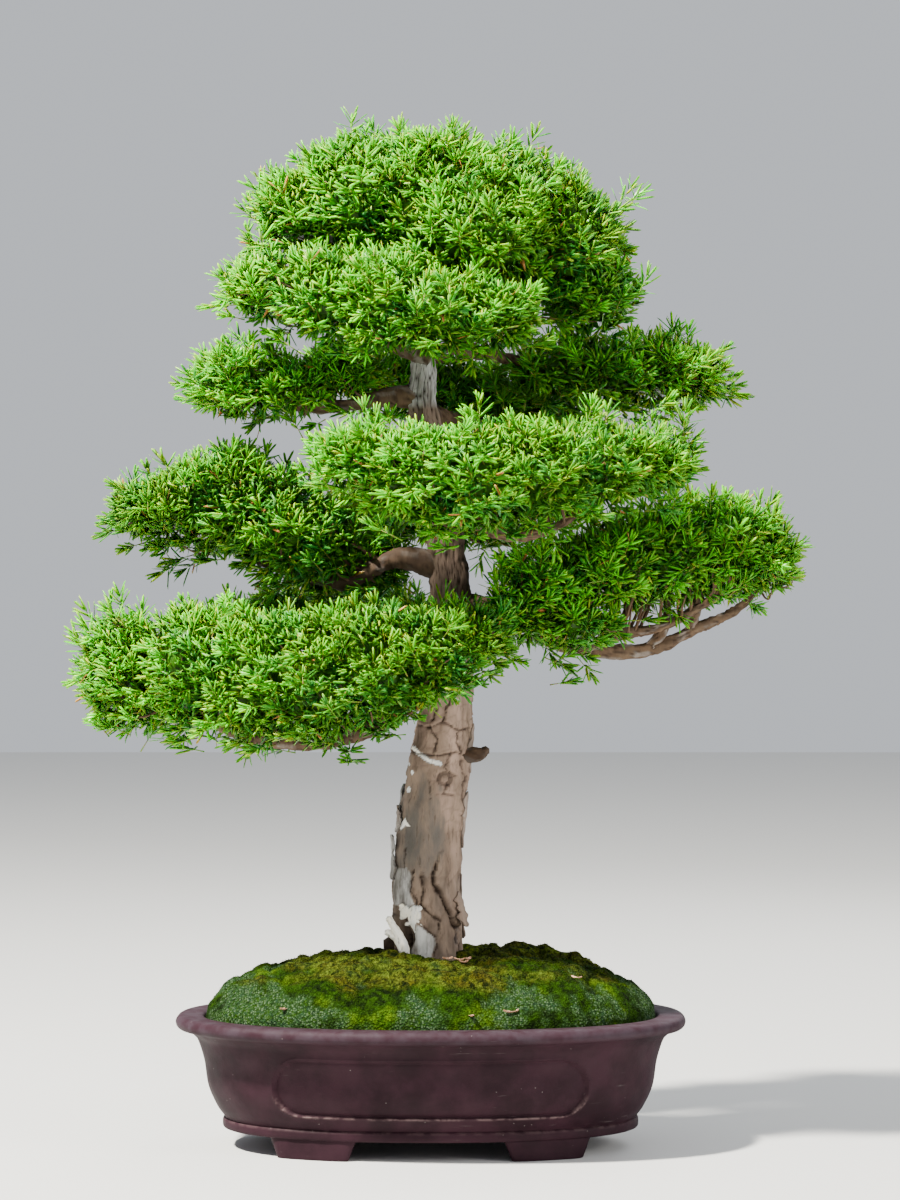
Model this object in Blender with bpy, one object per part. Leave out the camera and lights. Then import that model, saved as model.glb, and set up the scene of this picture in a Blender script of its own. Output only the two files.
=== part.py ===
# Yew bonsai in its oval stoneware pot, at real size, in metres, +Z up.
# The origin is on the ground under the middle of the whole plant and pot.

import math
import random

import bmesh
import bpy
import numpy as np
from mathutils import Vector

MM = 0.001
GAP = 0.3 * MM
WALL_GAP = 0.6 * MM
SEED = 7

# Pot: an oval with a wide lip, from its rim inwards and down to its four feet.
POT_X = -17 * MM
RIM_HALF_WIDTH = 225 * MM
RIM_HALF_DEPTH = 165 * MM
OVAL_POWER = 2.25
OVAL_SIDES = 36
RIM_TOP = 116 * MM
RIM_THICKNESS = 12 * MM
LIP_WIDTH = 25 * MM
FOOT_HEIGHT = 17 * MM
FLOOR_TOP = 27 * MM
FLOOR_HALF_WIDTH = 173 * MM
# Outer wall: how far each ring lies inside the rim, and its height.
WALL_RINGS = [(45, 17), (41.5, 18.5), (41.5, 25), (43.5, 26), (36, 37), (28.5, 54), (25, 76),
              (19.5, 94), (12, 102.5)]

# Feet: reach along X from the pot's middle, and the thickness of each bracket.
FOOT_INNER = 62 * MM
FOOT_OUTER = 139 * MM
FOOT_TAPER = 8 * MM
FOOT_THICKNESS = 20 * MM
FOOT_INSET = 46.6 * MM

# Sunk panels with round ends, on the front and the back.
PANEL_HALF_WIDTH = 135 * MM
PANEL_LOW = 39 * MM
PANEL_HIGH = 88 * MM
PANEL_DEPTH = 1.8 * MM

# Drain holes, with the plastic screen on each and the wire clip that holds it.
DRAIN_REACH = 95 * MM
DRAIN_RADIUS = 13 * MM
SCREEN_SIDE = 44 * MM
SCREEN_THICKNESS = 1.0 * MM
SCREEN_HOLE = 9 * MM
SCREEN_PITCH = 7.5 * MM
WIRE_RADIUS = 0.8 * MM
CLIP_TAIL = 16 * MM

# Filling: a layer of coarse grit, the soil mound, and moss over it.
GRIT_TOP = 42 * MM
SOIL_EDGE = 99 * MM
MOSS_EDGE = 113 * MM
MOUND_RISE = 49 * MM
MOUND_FULLNESS = 3.0
MOUND_STEEPNESS = 0.62
MOSS_BUMP = 3.2 * MM
MOSS_HOLE = 50 * MM
MOUND_SHARES = (0.95, 0.8, 0.5, 0.0)
DISH_FLOOR = 126 * MM
ROOT_FLOOR = 62 * MM

# Wood. Each run is points of (x, y, z, radius) in millimetres along its middle.
TRUNK = [(-15, 0, 62, 30), (-15, 0, 100, 33), (-16, 0, 135, 35), (-17, 0, 160, 31.5),
         (-19, 0, 190, 29.5), (-20, 0, 225, 29.5), (-18, 0, 265, 29.5), (-13, 0, 312, 28),
         (-8, 0, 356, 26), (-3, 0, 402, 21.5), (0, 0, 445, 18.5), (0, 1, 489, 17.5),
         (-4, 1, 533, 16), (-11, 1, 577, 15), (-19, 2, 621, 14), (-25, 4, 660, 12.5),
         (-22, 2, 705, 10.5), (-16, 0, 750, 8.5), (-11, 0, 790, 6)]
LIMBS = {
    "lower_left": [(-14, -8, 408, 12), (-46, -38, 384, 11), (-92, -62, 362, 10), (-150, -62, 358, 8),
                   (-190, -48, 366, 6)],
    "lower_right": [(5, 2, 474, 13), (38, 4, 473, 11), (62, 6, 466, 10), (84, 5, 447, 9),
                    (112, 2, 438, 8), (160, 0, 435, 7.5), (192, 0, 443, 7), (222, 0, 458, 6),
                    (250, 0, 470, 4.5)],
    "right_strand": [(122, -2, 438, 6), (148, -9, 450, 5.5), (186, -10, 457, 5), (222, -8, 476, 4.5),
                     (248, -4, 492, 3.5)],
    "mid_left": [(-6, 2, 510, 12), (-45, 2, 518, 10), (-68, 6, 509, 9.5), (-95, 10, 497, 9),
                 (-135, 14, 506, 7.5), (-180, 18, 522, 6)],
    "front_middle": [(-8, -6, 566, 10), (0, -50, 556, 8), (25, -85, 543, 6.5), (62, -98, 536, 5.5),
                     (98, -98, 548, 4.5)],
    "front_left": [(-2, -40, 558, 7.5), (-36, -82, 560, 6), (-62, -92, 578, 4.5)],
    "third_left": [(-22, 4, 662, 10), (-62, 0, 659, 8.5), (-92, 0, 653, 7.5), (-126, 2, 652, 6),
                   (-160, 4, 662, 4.5)],
    "upper_right": [(-20, 4, 698, 8.5), (24, 26, 702, 7.5), (78, 46, 690, 6.5), (128, 50, 678, 5)],
    "back_upper": [(-22, 8, 646, 8.5), (-2, 60, 645, 7.5), (30, 92, 650, 5)],
    "back_upper_left": [(-6, 50, 646, 7), (-24, 84, 658, 5.5), (-34, 108, 668, 4.5)],
    "upper_left": [(-22, -2, 695, 8.5), (-48, -28, 706, 7.5), (-78, -44, 720, 6), (-104, -48, 732, 5)],
    "upper_front": [(-42, -22, 703, 6.5), (-20, -56, 711, 5.5), (8, -72, 718, 4.5)],
    "back_middle": [(-6, 8, 552, 10), (-8, 58, 549, 8.5), (4, 100, 552, 6)],
    "back_low": [(-4, 10, 436, 11), (-18, 58, 440, 9), (-50, 94, 444, 7.5), (-90, 108, 446, 5)],
    "back_right": [(-6, 10, 600, 9), (28, 46, 596, 7.5), (70, 78, 594, 5)],
    "twig_a": [(176, 0, 438, 5), (189, -4, 456, 4.5), (193, -6, 484, 3)],
    "twig_b": [(212, 0, 454, 5), (217, -3, 470, 4.5), (222, -5, 494, 3)],
    "cut_stub": [(2, -4, 342, 8.5), (24, -8, 345, 6.5), (33, -9, 349, 3.5)],
    "deadwood_stem": [(-35, -19, 157, 4), (-38.5, -24, 166, 4), (-41.5, -26, 177, 5.5),
                      (-45, -27, 186, 4.5), (-50, -28, 195, 3.2), (-54, -28, 202, 3)],
    "deadwood_fork": [(-42, -25, 179, 4.5), (-49, -26, 186, 3.2), (-56, -26, 190, 2.8)],
    "deadwood_ledge": [(-24, -22, 190, 6), (-31, -27, 203, 5), (-26, -29, 212, 2.5)],
    "root_left": [(-30, -8, 164, 9), (-46, -12, 163, 7), (-55, -13, 162, 5)],
    "root_knob": [(-36, 4, 168, 7), (-49, 4, 174, 8.5), (-56, 4, 178, 6.5)],
    "root_front": [(-8, -14, 158, 14), (-2, -28, 155, 8), (2, -37, 152, 5)],
    "root_right": [(2, 4, 158, 12), (16, 6, 153, 8), (25, 7, 150, 5)],
    "bark_flake": [(6, -12, 205, 7), (16, -14, 196, 4), (21, -15, 190, 1.5)],
}
THICK_LIMBS = ("lower_left", "lower_right", "mid_left")
LIMB_SIDES = 6
TRUNK_SIDES = 16
TRUNK_RINGS = 29

# Foliage. Each pad is a few round clumps: centre and half-sizes in millimetres.
PADS = {
    "crown": [(-15, 0, 824, 86, 78, 80), (-86, -6, 832, 66, 66, 68), (-130, -8, 822, 50, 56, 48),
              (48, 4, 820, 76, 74, 72), (102, 6, 796, 62, 66, 66), (122, 12, 756, 48, 56, 48),
              (-20, 60, 792, 84, 58, 58), (24, -48, 798, 74, 54, 54)],
    "upper_left": [(-150, -40, 755, 56, 50, 42), (-104, -58, 748, 56, 52, 50),
                   (-56, -76, 738, 54, 52, 52), (-8, -90, 728, 54, 48, 46), (38, -88, 726, 50, 44, 40)],
    "third_left": [(-190, 2, 674, 50, 50, 42), (-146, 4, 669, 48, 52, 38), (-98, 16, 684, 46, 48, 32)],
    "upper_right": [(92, 46, 688, 46, 46, 36), (136, 56, 687, 56, 60, 43), (186, 50, 684, 56, 58, 42),
                    (222, 42, 680, 38, 46, 34)],
    "back_upper": [(42, 114, 662, 64, 54, 42), (-10, 119, 674, 60, 52, 42), (-54, 122, 684, 50, 48, 38),
                   (86, 116, 648, 50, 46, 36)],
    "mid_left": [(-268, 8, 563, 46, 48, 36), (-228, 10, 565, 52, 56, 50), (-190, 10, 568, 56, 58, 57),
                 (-146, 8, 542, 56, 58, 56), (-112, 24, 526, 50, 52, 50), (-80, 40, 514, 48, 48, 44)],
    "front_middle": [(-76, -104, 602, 50, 50, 40), (-26, -117, 588, 58, 54, 52), (26, -120, 584, 60, 56, 54),
                     (78, -116, 592, 60, 56, 50), (130, -94, 598, 60, 56, 46), (174, -66, 600, 46, 50, 40)],
    "back_middle": [(10, 120, 562, 70, 54, 44), (70, 112, 572, 60, 52, 42), (-54, 124, 560, 60, 48, 38)],
    "lower_right": [(96, -10, 500, 56, 56, 44), (68, -36, 472, 46, 40, 42), (114, -34, 462, 44, 38, 36),
                    (150, -4, 512, 60, 60, 52), (204, 4, 522, 60, 62, 56), (250, 6, 526, 56, 56, 54),
                    (280, 4, 520, 38, 46, 44)],
    "lower_left": [(-286, -16, 418, 50, 54, 58), (-224, -34, 424, 60, 62, 64), (-168, -58, 414, 64, 62, 66),
                   (-116, -78, 412, 62, 60, 64), (-66, -92, 426, 56, 54, 58), (-20, -98, 438, 48, 46, 48),
                   (20, -88, 450, 38, 40, 36)],
    "back_low": [(-106, 116, 456, 64, 54, 46), (-50, 120, 458, 58, 50, 42), (-158, 104, 458, 52, 48, 42)],
}
# A pad's core lies this far inside it, and is built of facets of about this area.
CORE_INSET = 13 * MM
CORE_LEAST = 0.66
CORE_ROUGHNESS = 0.09
CORE_VOXEL = 7 * MM
CORE_FACET = 390 * MM * MM
WOOD_CLEARANCE = 0.5 * MM
PAD_CLEARANCE = 2.0 * MM

# Shoots: a slim stem whose faces are raised into needles.
SHOOT_COUNT = 135
SHOOT_RADIUS = 2.0 * MM
SHOOT_ROOT = 9 * MM
SHOOT_BARE = 2 * MM
SHOOT_STEP = 5.5 * MM
SHOOT_LEVELS = 2
NEEDLE_LENGTH = 15 * MM
NEEDLE_RISE = math.radians(42)
SHOOT_TILT = 0.45
FOLIAGE_REACH = 322 * MM

rng = random.Random(SEED)


def clear_scene():
    """Remove what the scene holds."""
    for thing in list(bpy.data.objects):
        bpy.data.objects.remove(thing, do_unlink=True)


def principled(name, colour, roughness, metallic=0.0):
    """Make a plain material from a colour, a roughness and a metallic value."""
    material = bpy.data.materials.new(name)
    material.use_nodes = True
    shader = material.node_tree.nodes["Principled BSDF"]
    shader.inputs["Base Color"].default_value = (*colour, 1.0)
    shader.inputs["Roughness"].default_value = roughness
    shader.inputs["Metallic"].default_value = metallic
    return material


def new_object(name, verts, faces, material=None, parent=None):
    """Make an object from points and faces, with its faces pointing out."""
    mesh = bpy.data.meshes.new(name)
    mesh.from_pydata([tuple(v) for v in verts], [], faces)
    shape = bmesh.new()
    shape.from_mesh(mesh)
    bmesh.ops.recalc_face_normals(shape, faces=shape.faces)
    shape.to_mesh(mesh)
    shape.free()
    thing = bpy.data.objects.new(name, mesh)
    bpy.context.scene.collection.objects.link(thing)
    if material:
        mesh.materials.append(material)
    thing.parent = parent
    return thing


def strip(low, high, sides, split=False):
    """Faces between two rings, given the first point of each. Split ones all slant the same way."""
    faces = []
    for j in range(sides):
        k = (j + 1) % sides
        if split:
            faces.append((low + j, low + k, high + k))
            faces.append((low + j, high + k, high + j))
        else:
            faces.append((low + j, low + k, high + k, high + j))
    return faces


def lofted(rings, poles=(None, None), split=False):
    """Skin a stack of equal rings, each end closed by a pole point or by one flat face."""
    rings = np.asarray(rings)
    count, sides = rings.shape[:2]
    verts = [tuple(p) for p in rings.reshape(-1, 3)]
    faces = []
    for i in range(count - 1):
        faces += strip(i * sides, (i + 1) * sides, sides, split)
    for end, pole in enumerate(poles):
        first = 0 if end == 0 else (count - 1) * sides
        if pole is None:
            faces.append(tuple(first + j for j in range(sides)))
            continue
        verts.append(tuple(pole))
        for j in range(sides):
            faces.append((first + j, first + (j + 1) % sides, len(verts) - 1))
    return verts, faces


def looped(rings):
    """Skin a closed loop of equal rings, like a tyre."""
    rings = np.asarray(rings)
    count, sides = rings.shape[:2]
    faces = []
    for i in range(count):
        faces += strip(i * sides, (i + 1) % count * sides, sides, split=True)
    return [tuple(p) for p in rings.reshape(-1, 3)], faces


def applied(thing, operation, cutter=None, collection=None, solver="EXACT"):
    """Run one Boolean on an object, apply it, and drop what it used."""
    boolean = thing.modifiers.new("Join", "BOOLEAN")
    boolean.operation = operation
    boolean.solver = solver
    if collection:
        boolean.operand_type = "COLLECTION"
        boolean.collection = collection
    else:
        boolean.object = cutter
    baked(thing)
    used = list(collection.objects) if collection else [cutter]
    for piece in used:
        bpy.data.objects.remove(piece, do_unlink=True)
    if collection:
        bpy.data.collections.remove(collection)
    return thing


def baked(thing):
    """Apply an object's modifiers to its mesh."""
    bpy.context.view_layer.update()
    shaped = thing.evaluated_get(bpy.context.evaluated_depsgraph_get())
    mesh = bpy.data.meshes.new_from_object(shaped)
    thing.modifiers.clear()
    thing.data = mesh
    return thing


def gathered(name, pieces):
    """Put objects into a collection of their own, for one Boolean."""
    collection = bpy.data.collections.new(name)
    bpy.context.scene.collection.children.link(collection)
    for piece in pieces:
        collection.objects.link(piece)
        bpy.context.scene.collection.objects.unlink(piece)
    return collection


def joined(thing, pieces, name, solver="EXACT"):
    """Union an object with a list of others."""
    return applied(thing, "UNION", collection=gathered(name, pieces), solver=solver)


def tidied(thing, material):
    """Split faces into triangles, drop loose scraps, and give the object one material."""
    shape = bmesh.new()
    shape.from_mesh(thing.data)
    bmesh.ops.triangulate(shape, faces=shape.faces)
    largest = largest_body(shape)
    scraps = [v for v in shape.verts if v not in largest]
    bmesh.ops.delete(shape, geom=scraps, context="VERTS")
    bmesh.ops.recalc_face_normals(shape, faces=shape.faces)
    shape.to_mesh(thing.data)
    shape.free()
    thing.data.materials.clear()
    thing.data.materials.append(material)
    thing.data.shade_smooth()
    thing.data.set_sharp_from_angle(angle=math.radians(40))
    return thing


def largest_body(shape):
    """The points of the biggest connected body in a mesh."""
    unseen = set(shape.verts)
    best = set()
    while unseen:
        start = unseen.pop()
        body = {start}
        stack = [start]
        while stack:
            vert = stack.pop()
            for edge in vert.link_edges:
                other = edge.other_vert(vert)
                if other in unseen:
                    unseen.remove(other)
                    body.add(other)
                    stack.append(other)
        if len(body) > len(best):
            best = body
    return best


def oval(half_width, half_depth, z, sides=OVAL_SIDES):
    """One ring of the pot's oval, a little fuller than an ellipse."""
    angle = np.linspace(0, 2 * math.pi, sides, endpoint=False)
    c, s = np.cos(angle), np.sin(angle)
    x = POT_X + half_width * np.sign(c) * np.abs(c) ** (2 / OVAL_POWER)
    y = half_depth * np.sign(s) * np.abs(s) ** (2 / OVAL_POWER)
    return np.stack([x, y, np.full(sides, z)], axis=1)


def oval_inside_rim(inset, z):
    """A ring that lies a given distance inside the rim."""
    return oval(RIM_HALF_WIDTH - inset, RIM_HALF_DEPTH - inset, z)


def inner_inset(z):
    """How far the pot's straight inner wall lies inside the rim at a height."""
    at_floor = RIM_HALF_WIDTH - FLOOR_HALF_WIDTH
    share = (z - FLOOR_TOP) / (RIM_TOP - FLOOR_TOP)
    return at_floor + (LIP_WIDTH - at_floor) * share


def rim_rings():
    """The rounded rim, from under the lip round to its flat top."""
    middle = RIM_TOP - RIM_THICKNESS / 2
    radius = RIM_THICKNESS / 2
    rings = []
    for degrees in (-60, 0, 50, 90):
        turn = math.radians(degrees)
        inset = radius * (1 - math.cos(turn))
        rings.append(oval_inside_rim(inset, middle + radius * math.sin(turn)))
    return rings


def build_pot(material, parent):
    """The pot: turned wall and lip, four feet, two drain holes and two sunk panels."""
    rings = [oval_inside_rim(inset * MM, z * MM) for inset, z in WALL_RINGS]
    rings += rim_rings()
    rings.append(oval_inside_rim(LIP_WIDTH - 2 * MM, RIM_TOP))
    rings.append(oval_inside_rim(inner_inset(RIM_TOP - 3 * MM), RIM_TOP - 3 * MM))
    rings.append(oval_inside_rim(inner_inset(FLOOR_TOP), FLOOR_TOP))
    bottom = (POT_X, 0, FOOT_HEIGHT)
    floor = (POT_X, 0, FLOOR_TOP)
    pot = new_object("pot", *lofted(rings, (bottom, floor)), parent=parent)
    joined(pot, [pot_foot(sx, sy) for sx in (-1, 1) for sy in (-1, 1)], "feet")
    applied(pot, "DIFFERENCE", collection=gathered("drains", [drain_cutter(s) for s in (-1, 1)]))
    applied(pot, "DIFFERENCE", collection=gathered("panels", [panel_cutter(s) for s in (-1, 1)]))
    return tidied(pot, material)


def foot_outline(inset, start, end, count=7):
    """Points along the pot's oval between two distances from its middle."""
    width = RIM_HALF_WIDTH - inset
    depth = RIM_HALF_DEPTH - inset
    x = np.linspace(start, end, count)
    y = depth * (1 - (x / width) ** OVAL_POWER) ** (1 / OVAL_POWER)
    return x, y


def foot_ring(z, taper):
    """One level of a foot: its outer curve, then its inner curve back."""
    x, outer = foot_outline(FOOT_INSET, FOOT_INNER + taper, FOOT_OUTER - taper * 0.85)
    inner = outer - FOOT_THICKNESS - 0.12 * (x - FOOT_INNER)
    xs = np.concatenate([x, x[::-1]])
    ys = np.concatenate([outer, inner[::-1]])
    return np.stack([xs, ys, np.full(len(xs), z)], axis=1)


def pot_foot(side_x, side_y):
    """A bracket foot that follows the oval and narrows to the ground."""
    rings = np.array([foot_ring(0.0, FOOT_TAPER), foot_ring(FOOT_HEIGHT * 0.55, FOOT_TAPER * 0.55),
                      foot_ring(FOOT_HEIGHT + 2 * MM, 0.0)])
    rings[:, :, 0] = rings[:, :, 0] * side_x + POT_X
    rings[:, :, 1] *= side_y
    return new_object("foot", *lofted(rings))


def drain_cutter(side):
    """A round hole through the pot's floor."""
    middle = (POT_X + side * DRAIN_REACH, 0.4 * MM)
    rings = [circle(DRAIN_RADIUS, z, middle, 19) for z in (FOOT_HEIGHT - 5 * MM, FLOOR_TOP + 5 * MM)]
    return new_object("drain", *lofted(rings))


def panel_ring(y):
    """The panel's outline, a straight-sided slot with half-round ends, at a depth."""
    radius = (PANEL_HIGH - PANEL_LOW) / 2
    middle = (PANEL_HIGH + PANEL_LOW) / 2
    reach = PANEL_HALF_WIDTH - radius
    turn = np.linspace(-math.pi / 2, math.pi / 2, 6)
    right = np.stack([POT_X + reach + radius * np.cos(turn), middle + radius * np.sin(turn)], axis=1)
    left = np.stack([POT_X - reach - radius * np.cos(turn), middle - radius * np.sin(turn)], axis=1)
    outline = np.concatenate([right, left])
    return np.stack([outline[:, 0], np.full(len(outline), y), outline[:, 1]], axis=1)


def panel_cutter(side):
    """A slot-shaped block whose inner face follows the pot's wall a little below its surface."""
    rings = [panel_ring(side * y) for y in (60 * MM, RIM_HALF_DEPTH)]
    cutter = new_object("panel", *lofted(rings))
    kept = [oval_inside_rim(inset * MM + PANEL_DEPTH, z * MM) for inset, z in WALL_RINGS]
    poles = ((POT_X, 0, WALL_RINGS[0][1] * MM), (POT_X, 0, WALL_RINGS[-1][1] * MM))
    body = new_object("kept", *lofted(kept, poles))
    return applied(cutter, "DIFFERENCE", cutter=body)


def box(name, low, high):
    """A plain box between two corners."""
    (x0, y0, z0), (x1, y1, z1) = low, high
    rings = [[(x0, y0, z), (x1, y0, z), (x1, y1, z), (x0, y1, z)] for z in (z0, z1)]
    return new_object(name, *lofted(rings))


def build_screen(name, side, material, parent):
    """A square of plastic mesh that lies over a drain hole."""
    low = FLOOR_TOP + GAP
    half = SCREEN_SIDE / 2
    cx = POT_X + side * DRAIN_REACH
    screen = box(name, (cx - half, -half, low), (cx + half, half, low + SCREEN_THICKNESS))
    screen.parent = parent
    holes = []
    for i in (-1, 1):
        for j in (-1, 1):
            x, y = cx + i * SCREEN_PITCH, j * SCREEN_PITCH
            reach = SCREEN_HOLE / 2
            holes.append(box("hole", (x - reach, y - reach, low - MM), (x + reach, y + reach, low + 3 * MM)))
    applied(screen, "DIFFERENCE", collection=gathered("holes", holes))
    return tidied(screen, material)


def build_clip(name, side, material, parent):
    """A bent wire over the screen, down through the drain hole and out along the pot's underside."""
    cx = POT_X + side * DRAIN_REACH
    top = FLOOR_TOP + GAP + SCREEN_THICKNESS + GAP + WIRE_RADIUS
    under = FOOT_HEIGHT - GAP - WIRE_RADIUS
    half = SCREEN_PITCH
    bend = 1.6 * MM
    run = [(-half - 0.5 * MM - CLIP_TAIL, under), (-half - bend, under), (-half, under + bend),
           (-half, top - bend), (-half + bend, top), (half - bend, top), (half, top - bend),
           (half, under + bend), (half + bend, under), (half + 0.5 * MM + CLIP_TAIL, under)]
    turn = np.linspace(0, 2 * math.pi, 6, endpoint=False)
    rings = []
    for i, (u, z) in enumerate(run):
        before, after = run[max(i - 1, 0)], run[min(i + 1, len(run) - 1)]
        along = Vector((after[0] - before[0], 0, after[1] - before[1])).normalized()
        across = Vector((0, 1, 0))
        up = along.cross(across)
        rings.append([Vector((cx + u, -SCREEN_PITCH, z)) + WIRE_RADIUS * (math.cos(t) * across + math.sin(t) * up)
                      for t in turn])
    return tidied(new_object(name, *lofted(rings), parent=parent), material)


def build_grit(material, parent):
    """The layer of coarse grit on the pot's floor, hollowed over each screen."""
    low = FLOOR_TOP + GAP
    rings = [oval_inside_rim(inner_inset(z) + WALL_GAP, z) for z in (low, GRIT_TOP)]
    poles = ((POT_X, 0, low), (POT_X, 0, GRIT_TOP))
    grit = new_object("drainage_grit", *lofted(rings, poles), parent=parent)
    reach = SCREEN_SIDE / 2 + 0.6 * MM
    pockets = []
    for side in (-1, 1):
        cx = POT_X + side * DRAIN_REACH
        pockets.append(box("pocket", (cx - reach, -reach, low - MM), (cx + reach, reach, low + 3.6 * MM)))
    applied(grit, "DIFFERENCE", collection=gathered("pockets", pockets))
    return tidied(grit, material)


def mound_height(x, y, edge, rise):
    """A full, flat-topped mound over the pot's oval: steep at its edge, level near its middle."""
    across = np.abs(x - POT_X) / (RIM_HALF_WIDTH - LIP_WIDTH)
    along = np.abs(y) / (RIM_HALF_DEPTH - LIP_WIDTH)
    reach = np.clip((across ** OVAL_POWER + along ** OVAL_POWER) ** (1 / OVAL_POWER), 0, 1)
    return edge + rise * (1 - reach ** MOUND_FULLNESS) ** MOUND_STEEPNESS


def moss_bump(x, y):
    """Soft cushions in the moss, the sum of a few crossed waves."""
    wide = np.sin(x / (19 * MM) + 1.3) * np.cos(y / (17 * MM) - 0.4)
    slant = np.sin((x + 1.4 * y) / (13 * MM) + 2.1)
    return MOSS_BUMP * (0.7 * wide + 0.5 * slant)


def circle(radius, z, centre=(0.0, 0.0), sides=OVAL_SIDES):
    """A plain level ring."""
    angle = np.linspace(0, 2 * math.pi, sides, endpoint=False)
    x = centre[0] + radius * np.cos(angle)
    y = centre[1] + radius * np.sin(angle)
    return np.stack([x, y, np.full(sides, z)], axis=1)


def between(inner, outer, share):
    """A ring part of the way from one ring to another."""
    return inner + (outer - inner) * share


def trunk_foot():
    """Where the middle of the trunk's foot stands."""
    return TRUNK[0][0] * MM, TRUNK[0][1] * MM


def mound_rings(outer, shares, edge, lift=0.0):
    """Rings over the mound, from near the pot's wall in to the plain hole round the trunk."""
    mouth = circle(MOSS_HOLE, 0, trunk_foot())
    rings = []
    for share in shares:
        ring = between(mouth, outer, share)
        ring[:, 2] = mound_height(ring[:, 0], ring[:, 1], edge, MOUND_RISE) + lift
        rings.append(ring)
    return rings


def soil_edge_ring():
    """The outer edge of the soil's mound, where it meets the pot's wall."""
    return oval_inside_rim(inner_inset(SOIL_EDGE) + WALL_GAP, SOIL_EDGE)


def build_soil(material, parent):
    """The soil mound, dished round the roots, with one plain hole for the foot of the trunk."""
    low = GRIT_TOP + GAP
    rings = [oval_inside_rim(inner_inset(low) + WALL_GAP, low), soil_edge_ring()]
    rings += mound_rings(soil_edge_ring(), MOUND_SHARES, SOIL_EDGE)
    for z in (DISH_FLOOR, TRUNK[1][2] * MM, ROOT_FLOOR - GAP):
        rings.append(circle(root_radius(z) + GAP * 2, z, trunk_foot()))
    poles = ((POT_X, 0, low), (*trunk_foot(), ROOT_FLOOR - GAP))
    return tidied(new_object("soil", *lofted(rings, poles, split=True), parent=parent), material)


def root_radius(z):
    """The radius of the trunk's plain round foot at a height in the soil."""
    heights = [point[2] * MM for point in TRUNK]
    radii = [point[3] * MM for point in TRUNK]
    return float(np.interp(z, heights, radii)) * 1.02


def build_moss(material, parent):
    """The moss: a lumpy blanket over the mound, with a plain hole round the trunk."""
    rings = [soil_edge_ring() + (0, 0, GAP)]
    rings += mound_rings(soil_edge_ring(), MOUND_SHARES, SOIL_EDGE, GAP)
    brim = oval_inside_rim(inner_inset(MOSS_EDGE) + WALL_GAP, MOSS_EDGE)
    for ring in mound_rings(brim, (0.0, 0.18, 0.38, 0.57, 0.74, 0.88, 0.97), MOSS_EDGE):
        ring[:, 2] += moss_bump(ring[:, 0], ring[:, 1])
        rings.append(ring)
    rings.append(brim)
    return tidied(new_object("moss", *looped(rings), parent=parent), material)


def smooth_run(points, count):
    """Points and radii read evenly from a smooth curve through a run's own points."""
    control = np.array(points, dtype=float) * MM
    steps = np.linspace(0, len(control) - 1, count)
    index = np.minimum(steps.astype(int), len(control) - 2)
    t = (steps - index)[:, None]
    p1, p2 = control[index], control[index + 1]
    p0 = np.where(index[:, None] > 0, control[np.maximum(index - 1, 0)], 2 * p1 - p2)
    last = index + 2 > len(control) - 1
    p3 = np.where(last[:, None], 2 * p2 - p1, control[np.minimum(index + 2, len(control) - 1)])
    curve = 0.5 * (2 * p1 + (p2 - p0) * t + (2 * p0 - 5 * p1 + 4 * p2 - p3) * t ** 2
                   + (3 * p1 - p0 - 3 * p2 + p3) * t ** 3)
    return curve[:, :3], np.maximum(curve[:, 3], 0.8 * MM)


def run_frames(path):
    """Two unit vectors across a path at each point, carried along it without twisting."""
    tangents = np.gradient(path, axis=0)
    tangents /= np.linalg.norm(tangents, axis=1)[:, None]
    first = np.cross(tangents[0], (0.0, 1.0, 0.1))
    frames = []
    side = first / np.linalg.norm(first)
    for tangent in tangents:
        side = side - tangent * np.dot(side, tangent)
        side /= np.linalg.norm(side)
        frames.append((side, np.cross(tangent, side)))
    return frames


def tube_rings(path, radii, sides, lobes):
    """Rings along a path, their radius moved in and out by a formula for the wood's flutes."""
    angle = np.linspace(0, 2 * math.pi, sides, endpoint=False)
    rings = []
    for i, (a, b) in enumerate(run_frames(path)):
        radius = radii[i] * lobes(path[i], angle)
        rings.append(path[i] + radius[:, None] * (np.cos(angle)[:, None] * a + np.sin(angle)[:, None] * b))
    return rings


def trunk_lobes(point, angle):
    """Old yew wood: shallow flutes above the soil, plain and round within it."""
    z = point[2]
    above = np.clip((z - 0.135) / 0.03, 0, 1)
    flare = 0.10 * np.exp(-((z - 0.158) / 0.035) ** 2)
    flute = (0.045 + flare) * np.sin(3 * angle + 9 * z + 0.6) + 0.035 * np.sin(5 * angle - 21 * z)
    return 1 + above * flute


def limb_lobes(point, angle):
    """Gnarled limbs: knuckles that swell and pinch along their length."""
    along = point[0] * 61 + point[1] * 47 + point[2] * 53
    return 1 + 0.07 * np.sin(along) + 0.06 * np.sin(2 * angle + along * 0.7)


def limb_count(points):
    """More rings on a longer limb."""
    reach = sum(math.dist(a[:3], b[:3]) for a, b in zip(points, points[1:]))
    return max(4, min(9, round(reach / 24)))


def build_limb(name, grow=0.0):
    """One limb as a closed tube with a pointed end, or a fatter copy of it for its socket."""
    path, radii = smooth_run(LIMBS[name], limb_count(LIMBS[name]))
    sides = LIMB_SIDES + (1 if name in THICK_LIMBS else 0)
    rings = tube_rings(path, radii + grow, sides, limb_lobes)
    start = path[0] - (path[1] - path[0]) * 0.02
    ahead = path[-1] - path[-2]
    tip = path[-1] + ahead * 0.25 + ahead / np.linalg.norm(ahead) * grow * 3
    return new_object(name, *lofted(rings, (start, tip), split=True))


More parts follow.
